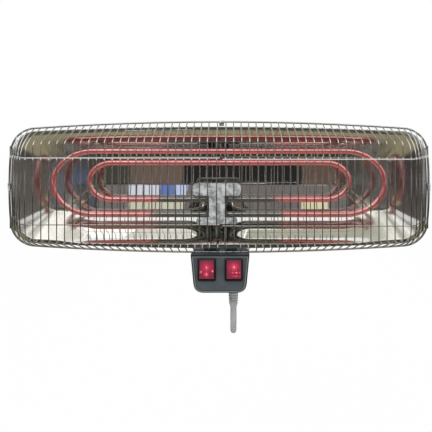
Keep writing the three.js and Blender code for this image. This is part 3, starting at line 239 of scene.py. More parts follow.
@dataclass(frozen=True)
class Dressing:
    """What every new piece is given: its body, its material and the CAD nodes it stands for. Its slot's name
    is held here but is not given to it.
    """

    body: str
    slot: str
    material: Material
    nodes: tuple[str, ...] = ()
    crease_degrees: float = 35.0

    def apply(self, piece: Piece) -> Piece:
        """Shades, dresses and fastens a piece.

        Args:
            piece: a mesh object in the row frame.

        Returns:
            The same object.
        """
        mesh = piece.data
        mesh.shade_smooth()
        mesh.set_sharp_from_angle(angle=math.radians(self.crease_degrees))
        mesh.materials.clear()
        mesh.materials.append(self.material)
        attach(piece, self.body)
        if self.nodes:
            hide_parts(*self.nodes)
        LOG.info("piece %s: %d faces", piece.name, len(mesh.polygons))
        return piece

    def make(self, name: str, skins: list[Skin]) -> Piece:
        """One dressed object of several closed skins.

        Args:
            name: the piece's name.
            skins: the closed skins it is made of.

        Returns:
            The dressed piece.
        """
        offsets = np.cumsum([0] + [len(s.points) for s in skins[:-1]])
        faces = [[i + int(o) for i in face] for s, o in zip(skins, offsets) for face in s.faces]
        mesh = bpy.data.meshes.new(name)
        mesh.from_pydata(np.concatenate([s.points for s in skins]).tolist(), [], faces)
        mesh.update()
        return self.apply(linked(name, mesh))

    def refine(self, name: str, node: str, bevel: float, segments: int = 2) -> Piece:
        """A copy of a CAD node with its points merged and its edges rounded.

        Args:
            name: the new piece's name.
            node: the CAD node it copies and stands for.
            bevel: the rounding's width in metres.
            segments: faces across each rounding.

        Returns:
            The dressed piece.
        """
        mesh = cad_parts[node].data.copy()
        mesh.name = name
        work = bmesh.new()
        work.from_mesh(mesh)
        bmesh.ops.remove_doubles(work, verts=work.verts, dist=MERGE)
        bmesh.ops.dissolve_limit(work, angle_limit=FLAT_ANGLE, verts=work.verts, edges=work.edges)
        work.to_mesh(mesh)
        work.free()
        piece = linked(name, mesh)
        if bevel > 0:
            rounding = piece.modifiers.new("edge_rounding", "BEVEL")
            rounding.width = bevel
            rounding.segments = segments
            rounding.limit_method = "ANGLE"
            rounding.angle_limit = BEVEL_ANGLE
        return replace(self, nodes=(node,)).apply(piece)


# ------------------------------------------------------------------ materials


def wired(
    tree: bpy.types.NodeTree, kind: str, inputs: dict[str | int, Socket | float | Sizes], operation: str = ""
) -> bpy.types.Node:
    """Adds a shader node.

    Args:
        tree: the node tree it goes into.
        kind: its type.
        inputs: for each of its sockets, an output to link or a constant to set.
        operation: what a node of arithmetic does.

    Returns:
        The node.
    """
    node = tree.nodes.new(kind)
    if operation:
        node.operation = operation
    for key, value in inputs.items():
        if isinstance(value, Socket):
            tree.links.new(value, node.inputs[key])
        else:
            node.inputs[key].default_value = value
    return node


class Shader:
    """A material's node tree, with short calls for the nodes that the finishes share."""

    def __init__(self, name: str) -> None:
        """Starts a material with one Principled shader.

        Args:
            name: the material's name.
        """
        self.material = bpy.data.materials.new(name)
        self.material.use_nodes = True
        self.tree = self.material.node_tree
        self.surface = self.tree.nodes["Principled BSDF"]
        places = self.tree.nodes.new("ShaderNodeTexCoord").outputs
        self.place, self.normal = places["Object"], places["Normal"]

    def set(self, **values: float | Sizes) -> None:
        """Sets constant inputs on the shader's own sockets; underscores stand for spaces."""
        for key, value in values.items():
            self.surface.inputs[key.replace("_", " ")].default_value = value

    def link(self, output: Socket, socket: str) -> None:
        """Links an output to one of the shader's sockets."""
        self.tree.links.new(output, self.surface.inputs[socket])

    def stretched(self, scale: Vec) -> Socket:
        """Object coordinates scaled along each axis, for grain that runs one way."""
        return wired(self.tree, "ShaderNodeMapping", {"Vector": self.place, "Scale": scale}).outputs["Vector"]

    def noise(self, scale: float, detail: float = 3.0, vector: Socket | None = None) -> Socket:
        """Smooth noise from 0 to 1.

        Args:
            scale: features in a metre.
            detail: octaves of finer noise.
            vector: coordinates, if not the plain object ones.

        Returns:
            The noise value.
        """
        inputs = {"Vector": vector or self.place, "Scale": scale, "Detail": detail}
        return wired(self.tree, "ShaderNodeTexNoise", inputs).outputs["Fac"]

    def cells(self, scale: float) -> Socket:
        """One random value for each cell of a Voronoi pattern, as in the spangle of zinc."""
        inputs = {"Vector": self.place, "Scale": scale}
        return wired(self.tree, "ShaderNodeTexVoronoi", inputs).outputs["Color"]

    def ramp(self, value: Socket, stops: Stops) -> Socket:
        """A colour ramp over a value.

        Args:
            value: what the ramp reads.
            stops: pairs of place and colour.

        Returns:
            The ramp's colour.
        """
        node = wired(self.tree, "ShaderNodeValToRGB", {"Fac": value})
        points = node.color_ramp.elements
        while len(points) < len(stops):
            points.new(0.5)
        for point, (place, color) in zip(points, stops):
            point.position = place
            point.color = (*color, 1.0)
        return node.outputs["Color"]

    def span(self, value: Socket, source: Pair, target: Pair = UNIT) -> Socket:
        """Maps one range of a value smoothly to another.

        Args:
            value: the value read.
            source: its low and high end.
            target: what those ends become.

        Returns:
            The mapped value.
        """
        ends = dict(zip(("From Min", "From Max", "To Min", "To Max"), (*source, *target)))
        node = wired(self.tree, "ShaderNodeMapRange", {"Value": value, **ends})
        node.interpolation_type = "SMOOTHSTEP"
        return node.outputs["Result"]

    def math(self, operation: str, first: Socket, second: Socket | float) -> Socket:
        """One step of arithmetic on a value and a value or number."""
        return wired(self.tree, "ShaderNodeMath", {0: first, 1: second}, operation).outputs[0]

    def component(self, vector: Socket, axis: str) -> Socket:
        """One component of a vector: X, Y or Z."""
        return wired(self.tree, "ShaderNodeSeparateXYZ", {0: vector}).outputs[axis]

    def coordinate(self, axis: str) -> Socket:
        """One of the object coordinates: X, Y or Z."""
        return self.component(self.place, axis)

    def apart(self, axis: str, level: float) -> Socket:
        """Distance of the surface from a level on one axis."""
        return self.math("ABSOLUTE", self.math("SUBTRACT", self.coordinate(axis), level), 0.0)

    def distance(self, x: float, z: float, squeeze: float) -> Socket:
        """Distance of the surface from a line along Y at x and z, with widths squeezed by a factor."""
        inputs = {0: self.stretched((squeeze, 0.0, 1.0)), 1: (x * squeeze, 0.0, z)}
        return wired(self.tree, "ShaderNodeVectorMath", inputs, "DISTANCE").outputs["Value"]

    def bump(self, height: Socket, depth: float) -> None:
        """Roughens the surface; later calls add to earlier ones.

        Args:
            height: the height, from 0 to 1.
            depth: what a height of 1 stands for, in metres.
        """
        inputs = {"Height": height, "Distance": depth, "Strength": 1.0}
        if self.surface.inputs["Normal"].is_linked:
            inputs["Normal"] = self.surface.inputs["Normal"].links[0].from_socket
        self.link(wired(self.tree, "ShaderNodeBump", inputs).outputs["Normal"], "Normal")

    def tones(self, value: Socket, dark: Vec, light: Vec, ends: Pair = MIDDLE) -> None:
        """Gives the base colour two tones, dark and light at the two ends of a value."""
        self.link(self.ramp(value, ((ends[0], dark), (ends[1], light))), "Base Color")

    def texture(self, value: Socket, roughness: Pair, depth: float) -> None:
        """Lets a fine noise drive the roughness and a bump of some depth."""
        self.link(self.span(value, MIDDLE, roughness), "Roughness")
        self.bump(value, depth)


@dataclass(frozen=True)
class MetalFinish:
    """Bare or plated metal: two tones mixed by noise, a fine grain, and a level where the metal is less
    metallic so that it shows lighter, a painted highlight.
    """

    name: str
    light: Vec
    dark: Vec
    roughness: Pair
    mottle: float = 40.0
    grain: Vec = (400.0, 400.0, 400.0)
    grain_depth: float = 0.01 * MM
    # Painted highlight on one wire: its level, the edge of the band, and the lower metallic that makes it
    # show lighter.
    lit_wire_z: float | None = None
    lit_wire_edge: Pair = (1.6 * MM, 2.2 * MM)
    lit_wire_metallic: float = 0.3

    def build(self) -> Material:
        """The material: tone and roughness follow mottling, and at one level the metal is less metallic so
        that it shows lighter, as a painted highlight.

        Returns:
            The finished material.
        """
        shader = Shader(self.name)
        shader.set(Metallic=1.0)
        if self.lit_wire_z is not None:
            metallic = (self.lit_wire_metallic, 1.0)
            shader.link(shader.span(shader.apart("Z", self.lit_wire_z), self.lit_wire_edge, metallic), "Metallic")
        shader.tones(shader.noise(self.mottle, 4.0), self.dark, self.light)
        shader.texture(shader.noise(1.0, 2.0, shader.stretched(self.grain)), self.roughness, self.grain_depth)
        return shader.material


@dataclass(frozen=True)
class PolishedDish:
    """Polished reflector sheet: a clear mirror in the panel, duller where the ends were drawn."""

    name: str = "dish_polish"
    light: Vec = (0.88, 0.87, 0.84)
    dark: Vec = (0.80, 0.79, 0.76)
    mottle: float = 14.0
    drawn_from: Pair = (0.170, 0.235)
    roughness: Pair = (0.03, 0.17)
    brushing: Vec = (60.0, 60.0, 1400.0)
    brushing_depth: float = 0.001 * MM
    waves: tuple[Pair, ...] = ((9.0, 0.30 * MM), (45.0, 0.04 * MM))

    def build(self) -> Material:
        """The material: roughness grows towards the ends, over broad waves and a faint brushed grain.

        Returns:
            The finished material.
        """
        shader = Shader(self.name)
        shader.set(Metallic=1.0)
        shader.tones(shader.noise(self.mottle, 4.0), self.dark, self.light)
        shader.link(shader.span(shader.apart("X", 0.0), self.drawn_from, self.roughness), "Roughness")
        shader.bump(shader.noise(1.0, 2.0, shader.stretched(self.brushing)), self.brushing_depth)
        for scale, depth in self.waves:
            shader.bump(shader.noise(scale, 1.0), depth)
        return shader.material


@dataclass(frozen=True)
class SpangledZinc:
    """Galvanised sheet: crystals, or blotches, of slightly different grey and gloss."""

    name: str = "zinc_spangle"
    light: Vec = (0.66, 0.70, 0.74)
    dark: Vec = (0.40, 0.43, 0.46)
    crystals: float = 260.0
    blotches: float = 0.0
    contrast: Pair = (0.35, 0.65)
    roughness: Pair = (0.16, 0.40)
    metallic: float = 0.85
    dents: Pair = (900.0, 0.01 * MM)

    def build(self) -> Material:
        """The material: each crystal has its own tone and roughness.

        Returns:
            The finished material.
        """
        shader = Shader(self.name)
        shader.set(Metallic=self.metallic)
        cell = shader.noise(self.blotches) if self.blotches else shader.cells(self.crystals)
        shader.tones(cell, self.dark, self.light, self.contrast)
        shader.link(shader.span(cell, UNIT, self.roughness), "Roughness")
        shader.bump(shader.noise(self.dents[0]), self.dents[1])
        return shader.material


@dataclass(frozen=True)
class PlasticFinish:
    """Moulded plastic or rubber: two close tones and a fine spark-eroded texture."""

    name: str
    light: Vec
    dark: Vec
    roughness: Pair = (0.42, 0.55)
    mottle: float = 55.0
    grain: float = 1800.0
    grain_detail: float = 2.0
    grain_depth: float = 0.03 * MM
    coat: float = 0.0
    coat_roughness: float = 0.12
    metallic: float = 0.0

    def colour(self, shader: Shader) -> None:
        """Gives the base colour: tone by broad noise."""
        shader.tones(shader.noise(self.mottle), self.dark, self.light)

    def build(self) -> Material:
        """The material: roughness and bump by fine noise over the base colour.

        Returns:
            The finished material.
        """
        shader = Shader(self.name)
        shader.set(Metallic=self.metallic, Coat_Weight=self.coat, Coat_Roughness=self.coat_roughness)
        self.colour(shader)
        shader.texture(shader.noise(self.grain, self.grain_detail), self.roughness, self.grain_depth)
        return shader.material


@dataclass(frozen=True)
class ShellFinish(PlasticFinish):
    """The box's front shell: slate, with near black painted shade on its chamfer and a pale painted highlight
    along a raised line round its face.
    """

    # Pale colour of the painted highlight along the face's foremost line.
    line: Vec = (0.17, 0.185, 0.18)
    # Near black painted shade for surfaces near the face that turn aside.
    painted_shade_chamfer: Vec = (0.008, 0.010, 0.010)
    front_y: float = -172 * MM
    painted_highlight_depth: Pair = (0.1 * MM, 0.5 * MM)
    painted_shade_depth: Pair = (3.0 * MM, 3.6 * MM)
    painted_shade_facing: Pair = (0.85, 0.96)
    slate_share: Pair = (0.35, 0.65)

    def colour(self, shader: Shader) -> None:
        """Tone by broad noise, made near black as painted shade where the surface turns aside near the face,
        and made pale as a painted highlight at the foremost line.

        Args:
            shader: the material's shader.
        """
        depth = shader.math("SUBTRACT", shader.coordinate("Y"), self.front_y)
        # Painted shade: near the face, surfaces that turn aside from the front are made near black.
        facing = shader.math("ABSOLUTE", shader.component(shader.normal, "Y"), 0.0)
        tone = shader.span(shader.noise(self.mottle), MIDDLE, self.slate_share)
        behind = shader.span(depth, self.painted_shade_depth)
        plain = shader.math("MAXIMUM", shader.span(facing, self.painted_shade_facing), behind)
        # Painted highlight: the foremost line of the face is made pale.
        line = shader.span(depth, self.painted_highlight_depth, UNIT[::-1])
        low, high = self.slate_share
        stops = ((0.0, self.painted_shade_chamfer), (low, self.dark), (high, self.light), (1.0, self.line))
        share = shader.math("MAXIMUM", shader.math("MULTIPLY", tone, plain), line)
        shader.link(shader.ramp(share, stops), "Base Color")


@dataclass(frozen=True)
class PaintFinish(PlasticFinish):
    """Powder paint on sheet steel: a soft gloss over the small waves of orange peel."""

    roughness: Pair = (0.34, 0.46)
    mottle: float = 18.0
    grain: float = 650.0
    grain_detail: float = 1.0
    coat: float = 0.25
    coat_roughness: float = 0.3
    metallic: float = 0.35


@dataclass(frozen=True)
class HotSheath:
    """A tubular element's steel sheath: dull red where it is hot, dark oxide at its cold ends, and darker on
    its back half as painted shade.
    """

    name: str
    cold_reach: float
    middle: float
    low: float
    centre_y: float
    hot: Vec = (0.88, 0.25, 0.24)
    cold: Vec = (0.085, 0.085, 0.075)
    glow: Vec = (0.90, 0.06, 0.075)
    unlit: Vec = (0.0, 0.0, 0.0)
    strength: float = 0.27
    fade: float = 12 * MM
    above: Pair = (8 * MM, 14 * MM)
    # The band round the centre line where the painted shade on the back half sets in, and the share that
    # colour and glow fall to behind it.
    painted_shade_band: Pair = (-1.5 * MM, 0.5 * MM)
    painted_back_shade: float = 0.42
    blotches: float = 35.0
    blotch_ends: Pair = (0.3, 0.75)
    blotch_heat: Pair = (0.72, 1.0)
    oxide: float = 1400.0
    oxide_roughness: Pair = (0.10, 0.20)
    oxide_depth: float = 0.003 * MM

    def build(self) -> Material:
        """The material: heat rises along the bottom run away from the middle, and is full above it; behind
        the centre line colour and glow are darkened as painted shade.

        Returns:
            The finished material.
        """
        shader = Shader(self.name)
        shader.set(Metallic=0.78, Coat_Weight=1.0, Coat_Roughness=0.05, Coat_IOR=4.0)
        shader.set(Emission_Strength=self.strength)
        fade = (self.cold_reach - self.fade, self.cold_reach + self.fade)
        away = shader.span(shader.apart("X", self.middle), fade)
        upper = shader.span(shader.coordinate("Z"), (self.low + self.above[0], self.low + self.above[1]))
        heat = shader.math("MAXIMUM", away, upper)
        blotches = shader.span(shader.noise(self.blotches), self.blotch_ends, self.blotch_heat)
        # Painted shade: behind the tube's centre line its colour and glow fall to a share, so that its back
        # reads dark.
        front = (self.centre_y + self.painted_shade_band[0], self.centre_y + self.painted_shade_band[1])
        shade = shader.span(shader.coordinate("Y"), front, (1.0, self.painted_back_shade))
        heat_blotches_and_shade = shader.math("MULTIPLY", shader.math("MULTIPLY", heat, blotches), shade)
        shader.tones(heat_blotches_and_shade, self.cold, self.hot, UNIT)
        shader.link(shader.ramp(heat_blotches_and_shade, ((0.0, self.unlit), (1.0, self.glow))), "Emission Color")
        shader.texture(shader.noise(self.oxide), self.oxide_roughness, self.oxide_depth)
        return shader.material


@dataclass(frozen=True)
class Glow:
    """A spot of light in a lens: its place on the face, how far it reaches and how bright it is."""

    x: float
    z: float
    reach: float
    gain: float
    squeeze: float


@dataclass(frozen=True)
class LitLens:
    """A rocker's red lens with the glow of the lamp behind it, and painted highlights on its face."""

    name: str
    spots: tuple[Glow, ...]
    body: Vec = (0.16, 0.018, 0.032)
    core: float = 0.5 * MM
    strength: float = 1.0
    prisms: Vec = (620.0, 1.0, 90.0)
    prism_ends: Pair = (0.35, 0.65)
    prism_light: Pair = (0.6, 1.0)
    ridges: Vec = (900.0, 1.0, 40.0)
    ridge_depth: float = 0.02 * MM
    light: Stops = (
        (0.0, (0.05, 0.010, 0.020)),
        (0.4, (0.22, 0.018, 0.045)),
        (0.75, (0.56, 0.045, 0.085)),
        (0.92, (0.95, 0.10, 0.14)),
        (1.0, (1.0, 0.50, 0.52)),
    )

    def build(self) -> Material:
        """The material: the emission falls from each spot outwards, over fine upright prisms.

        Returns:
            The finished material.
        """
        shader = Shader(self.name)
        shader.set(Base_Color=(*self.body, 1.0), Roughness=0.16, Coat_Weight=0.8, Coat_Roughness=0.06)
        shader.set(Emission_Strength=self.strength)
        light = None
        for spot in self.spots:
            away = shader.distance(spot.x, spot.z, spot.squeeze)
            near = shader.span(away, (self.core, spot.reach), (spot.gain, 0.0))
            light = shader.math("MAXIMUM", light, near) if light else near
        prisms = shader.noise(1.0, 1.0, shader.stretched(self.prisms))
        light = shader.math("MULTIPLY", light, shader.span(prisms, self.prism_ends, self.prism_light))
        shader.link(shader.ramp(light, self.light), "Emission Color")
        shader.bump(shader.noise(1.0, 1.0, shader.stretched(self.ridges)), self.ridge_depth)
        return shader.material


# ------------------------------------------------------------------ the head's outline


@dataclass(frozen=True)
class Outline:
    """A rounded rectangle whose long sides bow outwards. Its half sizes hold at the middle of each side."""

    half_width: float
    half_height: float
    corner: float
    bow: float
    end_bow: float

    def mixed(self, other: Outline, share: float) -> Outline:
        """The outline a share of the way to another one."""
        return Outline(*(a + (b - a) * share for a, b in zip(astuple(self), astuple(other))))

    def shrunk(self, by: float) -> Outline:
        """The outline drawn in by a distance on every side."""
        corner = max(self.corner - by, MM)
        return Outline(self.half_width - by, self.half_height - by, corner, self.bow, self.end_bow)

    def height_at(self, x: Array) -> Array:
        """Height of the top side at x: a parabola, then a round arc at the corner.

        Args:
            x: places along the outline.

        Returns:
            The height at each.
        """
        straight = self.half_width - self.end_bow - self.corner
        beyond = np.abs(x) - straight
        side = self.half_height - self.bow * (x / straight) ** 2
        arc = np.sqrt(np.maximum(self.corner**2 - np.maximum(beyond, 0) ** 2, 0))
        return np.where(beyond <= 0, side, self.half_height - self.bow - self.corner + arc)

    def width_at(self, z: Array) -> Array:
        """Half width at height z: the height of the same outline on its side."""
        return Outline(self.half_height, self.half_width, self.corner, self.end_bow, self.bow).height_at(z)

    def loop(self, y: float, long_steps: int = 26, corner_steps: int = 14, end_steps: int = 6) -> Array:
        """The outline as a ring of points at depth y: one quarter, mirrored to all four.

        Args:
            y: depth of the ring.
            long_steps: steps in half a long side.
            corner_steps: steps in a corner.
            end_steps: steps in half an end.

        Returns:
            The ring's points.
        """
        straight_x = self.half_width - self.end_bow - self.corner
        straight_z = self.half_height - self.bow - self.corner
        z = np.linspace(0, straight_z, end_steps, endpoint=False)
        end = np.stack([self.half_width - self.end_bow * (z / straight_z) ** 2, z], axis=1)
        angle = np.linspace(0, np.pi / 2, corner_steps, endpoint=False)
        round_x, round_z = self.corner * np.cos(angle), self.corner * np.sin(angle)
        arc = np.stack([straight_x + round_x, straight_z + round_z], axis=1)
        x = np.linspace(straight_x, 0, long_steps + 1)
        side = np.stack([x, self.half_height - self.bow * (x / straight_x) ** 2], axis=1)
        quarter = np.concatenate([end, arc, side])
        upper = np.concatenate([quarter, quarter[-2::-1] * [-1, 1]])
        flat = np.concatenate([upper, -upper[1:-1]])
        return np.stack([flat[:, 0], np.full(len(flat), y), flat[:, 1]], axis=1)


@dataclass(frozen=True)
class Reflector:
    """The pressed dish behind the elements: sizes as in the CAD, and the lean and hollow of its sheet."""

    rim_y: float = -155 * MM
    lip: Outline = Outline(295.5 * MM, 86.8 * MM, 35 * MM, 7 * MM, 1.5 * MM)
    mouth: Outline = Outline(289 * MM, 81 * MM, 31 * MM, 7 * MM, 1.5 * MM)
    panel: Outline = Outline(252 * MM, 41 * MM, 9 * MM, 2 * MM, 0.5 * MM)
    panel_depth: float = 33 * MM
    panel_insets: Sizes = (40.8 * MM, 40.1 * MM, 38 * MM, 30 * MM, 14 * MM, 6 * MM, 2 * MM)
    back_insets: Sizes = (5 * MM, 30 * MM, 38 * MM, 40.1 * MM, 40.8 * MM)
    sheet: float = 1 * MM
    wall_sheet: float = 0.7 * MM
    overhang: float = 0.8 * MM
    edge_inset: float = 0.4 * MM
    edge_depths: Pair = (0.25 * MM, 0.75 * MM)
    foot_shares: Vec = (1.03, 1.0, 0.96)
    wall_shares: Sizes = (0.95, 0.92, 0.82, 0.7, 0.6, 0.5, 0.4, 0.3, 0.18, 0.08, 0.05)
    brim_shares: Vec = (0.04, 0.0, -0.015)
    bracket_x: float = -3 * MM
    bracket_clear: float = 16 * MM
    bracket_fade: float = 24 * MM
    lean_end: float = 232 * MM
    lean_fade: float = 40 * MM
    lean: float = math.radians(5.5)
    bulge: float = 6.5 * MM

    def rings(self) -> Array:
        """Rings from the panel's middle over the wall and the lip, and back behind the sheet.

        Returns:
            The rings, all of as many points.
        """
        panel_y, under_y = self.rim_y + self.panel_depth, self.rim_y + self.sheet
        wall = self.wall_curve()
        front = [self.panel.shrunk(s).loop(panel_y) for s in self.panel_insets]
        front += [self.mouth.mixed(self.panel, s).loop(y) for s, y in wall]
        lip = [self.mouth.shrunk(-self.overhang).loop(self.rim_y)]
        lip += [self.lip.shrunk(self.edge_inset).loop(self.rim_y)]
        edge = [self.lip.loop(self.rim_y + depth) for depth in self.edge_depths]
        under = [self.lip.shrunk(self.edge_inset).loop(under_y), self.mouth.shrunk(-self.sheet).loop(under_y)]
        behind = [self.mouth.mixed(self.panel, s).shrunk(-self.overhang) for s, _ in wall[::-1]]
        back = [outline.loop(y + self.wall_sheet) for outline, (_, y) in zip(behind, wall[::-1])]
        back += [self.panel.shrunk(s).loop(panel_y + self.sheet) for s in self.back_insets]
        return self.creased(np.stack(front + lip + edge + under + back))

    def creased(self, rings: Array) -> Array:
        """The dish with the panel's lower half leaning forward below a crease, and a hollow bottom wall.

        The lean fades out at the bracket, at the ends, and up the walls to the lip:
        y = y - tan(lean) * depth below the crease * fade. The bottom wall sinks as a parabola
        of its rise from panel to mouth: z = z - bulge * 4 rise (1 - rise) * fade.

        Args:
            rings: the plain dish.

        Returns:
            The rings of the leaning, hollow dish.
        """
        x, y, z = (rings[..., k] for k in range(3))
        bracket = ease((np.abs(x - self.bracket_x) - self.bracket_clear) / self.bracket_fade)
        ends = ease((self.lean_end - np.abs(x)) / self.lean_fade)
        wall = np.clip((y - self.rim_y) / self.panel_depth, 0, 1)
        below = np.clip(-z, 0, self.panel.half_height)
        leaning = y - math.tan(self.lean) * below * (bracket * ends * wall)
        wall_height = self.mouth.half_height - self.panel.half_height
        rise = np.clip((np.abs(z) - self.panel.half_height) / wall_height, 0, 1)
        sag = self.bulge * 4 * rise * (1 - rise) * (z < 0) * ends
        return np.stack([x, leaning, z - sag], axis=-1)

    def wall_curve(self) -> list[Pair]:
        """The wall from panel to mouth as share of the inset and depth: straight between two rounds.

        Returns:
            Pairs of share and depth.
        """
        depth = self.panel_depth
        start, bend, end = self.foot_shares
        foot = quadratic(np.array([start, depth]), np.array([bend, depth]), np.array([end, end * depth]), 7)
        share = np.array(self.wall_shares)
        rise = np.stack([share, share * depth], axis=1)
        start, bend, end = self.brim_shares
        brim = quadratic(np.array([start, start * depth]), np.array([bend, 0.0]), np.array([end, 0.0]), 5)
        return [(float(s), self.rim_y + float(y)) for s, y in np.concatenate([foot, rise, brim])]

    def build(self, finish: Material) -> None:
        """Makes the dish."""
        dress = Dressing(HEAD, "reflector_metal", finish, ("reflector",), 50.0)
        dress.make("reflector_dish", [rings_skin(self.rings())])


@dataclass(frozen=True)
class RearCover:
    """The painted pan behind the reflector, with its two pressed ribs."""

    rounding: float = 0.35 * MM

    def build(self, paint: Material) -> None:
        """Makes the cover as a refined copy, because its neck opening is cut in CAD."""
        dress = Dressing(HEAD, "cover_paint", paint, crease_degrees=40.0)
        dress.refine("cover_pan", "rear_cover", self.rounding)


# ------------------------------------------------------------------ wire guard


@dataclass(frozen=True)
class Guard:
    """The wire basket: driving sizes as in the CAD, in metres."""

    rim_y: float = -151 * MM
    depth: float = 54 * MM
    rim: Outline = Outline(299.5 * MM, 93 * MM, 36 * MM, 9 * MM, 2 * MM)
    front: Outline = Outline(254 * MM, 65 * MM, 20 * MM, 3 * MM, 1 * MM)
    bend_share: float = 0.86
    bend_start: float = 0.84
    run_steps: int = 4
    bend_steps: int = 9
    wire: float = 0.74 * MM
    rim_wire: float = 1.45 * MM
    centre_x: float = -2 * MM
    first_pitch: float = 12 * MM
    half_wires: int = 24
    end_wires: int = 5
    end_gap: float = 3 * MM
    end_straight: float = 0.30
    end_steps: int = 12
    level_z: float = 44 * MM
    level_starts: Pair = (4 * MM, 8 * MM)
    level_behind: float = 1.5
    level_tuck: float = 0.6
    halves_apart: float = 1.6 * MM
    rim_gap: float = 1 * MM
    rim_steps: tuple[int, int, int] = (20, 14, 5)
    sides: int = 8
    rim_sides: int = 12

    def profile(self) -> Array:
        """The flank from rim to front as share of the inset and depth: a straight run, then a round bend.

        Returns:
            Pairs of share and depth.
        """
        bend = np.array([self.bend_share, self.depth])
        start = bend * self.bend_start
        end = np.array([1.0, self.depth])
        run = np.linspace(0, 1, self.run_steps, endpoint=False)[:, None] * start
        return np.concatenate([run, quadratic(start, bend, end, self.bend_steps)])

    def depth_at(self, share: Array) -> Array:
        """Depth in front of the rim at a share of the inset."""
        curve = self.profile()
        return np.interp(share, curve[:, 0], curve[:, 1])

    def height_at(self, x: float, share: Array) -> Array:
        """Height above the middle of the flank at x, for shares of the inset."""
        return np.array([float(self.rim.mixed(self.front, s).height_at(np.array(x))) for s in share])

    def mirrored(self, x: float, depth: Array, z: Array) -> Array:
        """An upright wire at x from the bottom rim to the top rim, whose lower half mirrors the upper."""
        upper = np.stack([np.full(len(z), x), self.rim_y - depth, z], axis=1)
        return np.concatenate([upper * [1, 1, -1], upper[::-1]])

    def front_wire(self, x: float) -> Array:
        """Points of an upright wire across the flat front."""
        share, depth = self.profile().T
        return self.mirrored(x, depth, self.height_at(x, share))

    def end_wire(self, x: float) -> Array:
        """Points of an upright wire on an end flank, up to where the flank is x wide.

        Args:
            x: the wire's place.

        Returns:
            The wire's points.
        """
        reach = (self.rim.half_width - abs(x)) / (self.rim.half_width - self.front.half_width)
        outline = self.rim.mixed(self.front, reach)
        share = reach * np.sin(np.linspace(0, np.pi / 2, self.end_steps))[:-1]
        straight = outline.half_height - outline.bow - outline.corner
        last = [straight + outline.corner * self.end_straight, straight]
        depth = self.depth_at(np.concatenate([share, [reach, reach]]))
        return self.mirrored(x, depth, np.concatenate([self.height_at(x, share), last]))

    def level_wire(self, side: Side, z: float) -> Array:
        """Points of a level wire: along the front behind the uprights, then round the end flank.

        Args:
            side: the half it belongs to.
            z: its height.

        Returns:
            The wire's points.
        """
        curve = self.profile()[::-1]
        inside = self.level_behind * self.wire
        x = np.array([float(self.rim.mixed(self.front, s).width_at(np.array(abs(z)))) for s in curve[:, 0]])
        x = side.value * (x - self.level_tuck * inside)
        flank = np.stack([x, self.rim_y - curve[:, 1] + inside, np.full(len(x), z)], axis=1)
        start_x = self.centre_x + dict(zip(Side, self.level_starts))[side]
        start = np.array([[start_x, self.rim_y - self.depth + inside, z]])
        return np.concatenate([start, flank])

    def rim_path(self, side: Side) -> Array:
        """Points of half the rim wire, from the top centre round the end to the bottom centre.

        Args:
            side: the half it belongs to.

        Returns:
            The wire's points.
        """
        ring = self.rim.loop(self.rim_y, *self.rim_steps)
        right = ring[ring[:, 0] > self.rim_gap]
        right = right[np.argsort(-np.arctan2(right[:, 2], right[:, 0]))]
        gap = self.rim_gap if side is Side.LEFT else 0
        meet = side.value * (self.centre_x + self.first_pitch / 2) + gap
        ends = np.array([[meet, self.rim_y, self.rim.half_height], [meet, self.rim_y, -self.rim.half_height]])
        return np.concatenate([ends[:1], right, ends[1:]]) * [side.value, 1, 1]

    def upright_places(self, side: Side) -> Array:
        """The x of every upright wire across the front of one half.

        Args:
            side: the half they belong to.

        Returns:
            One place for each wire.
        """
        first = self.centre_x + side.value * self.first_pitch
        places = np.linspace(first, side.value * self.front.half_width, self.half_wires)
        return np.concatenate([[self.centre_x], places]) if side is Side.LEFT else places

    def end_places(self, side: Side) -> Array:
        """The x of every upright wire on one end flank."""
        last = self.rim.half_width - self.end_gap
        return side.value * np.linspace(self.front.half_width, last, self.end_wires + 1)[1:]

    def half(self, side: Side) -> list[Skin]:
        """All wires of one half as closed bars.

        Args:
            side: which half.

        Returns:
            The bars.
        """
        uprights = [self.front_wire(x) for x in self.upright_places(side)]
        uprights += [self.end_wire(x) for x in self.end_places(side)]
        shift = side.value * self.halves_apart / 2
        levels = [self.level_wire(side, sign * self.level_z - shift) for sign in (1, -1)]
        skins = [sweep(path, self.wire, self.sides, X_AXIS) for path in uprights]
        skins += [sweep(path, self.wire, self.sides, Z_AXIS) for path in levels]
        return [*skins, sweep(self.rim_path(side), self.rim_wire, self.rim_sides, Y_AXIS)]

    def build(self, chrome: Material) -> None:
        """Makes both halves.

        Args:
            chrome: the wires' finish.
        """
        for side in Side:
            node = f"{side.word}_grille"
            Dressing(HEAD, "grille_chrome", chrome, (node,), 60.0).make(f"{node}_wires", self.half(side))


# ------------------------------------------------------------------ heating elements


@dataclass(frozen=True)
class Loop:
    """One long heating loop: sizes of its centre line, whose rounded ends are half ellipses."""

    word: str
    half_width: float
    top: float
    bottom: float
    turn: float
    cold_reach: float
    turn_steps: int = 33
    run_steps: int = 12

    def path(self, y: float, middle: float, end: float) -> Array:
        """The loop's centre line from the right end in the bracket, round both turns, to the left end.

        Args:
            y: depth of the loop.
            middle: x of the terminal bracket.
            end: how far from the middle the loop ends.

        Returns:
            The centre line's points.
        """
        rise = (self.top - self.bottom) / 2
        centre = np.array([self.half_width - self.turn, (self.top + self.bottom) / 2])
        angle = np.linspace(-np.pi / 2, np.pi / 2, self.turn_steps)
        right = centre + np.stack([self.turn * np.cos(angle), rise * np.sin(angle)], axis=1)
        left = right[::-1] * [-1, 1]
        ends = np.array([[middle + end, self.bottom], [middle - end, self.bottom]])
        run = np.linspace(right[-1], left[0], self.run_steps)[1:-1]
        flat = np.concatenate([ends[:1], right, run, left, ends[1:]])
        return np.stack([flat[:, 0], np.full(len(flat), y), flat[:, 1]], axis=1)


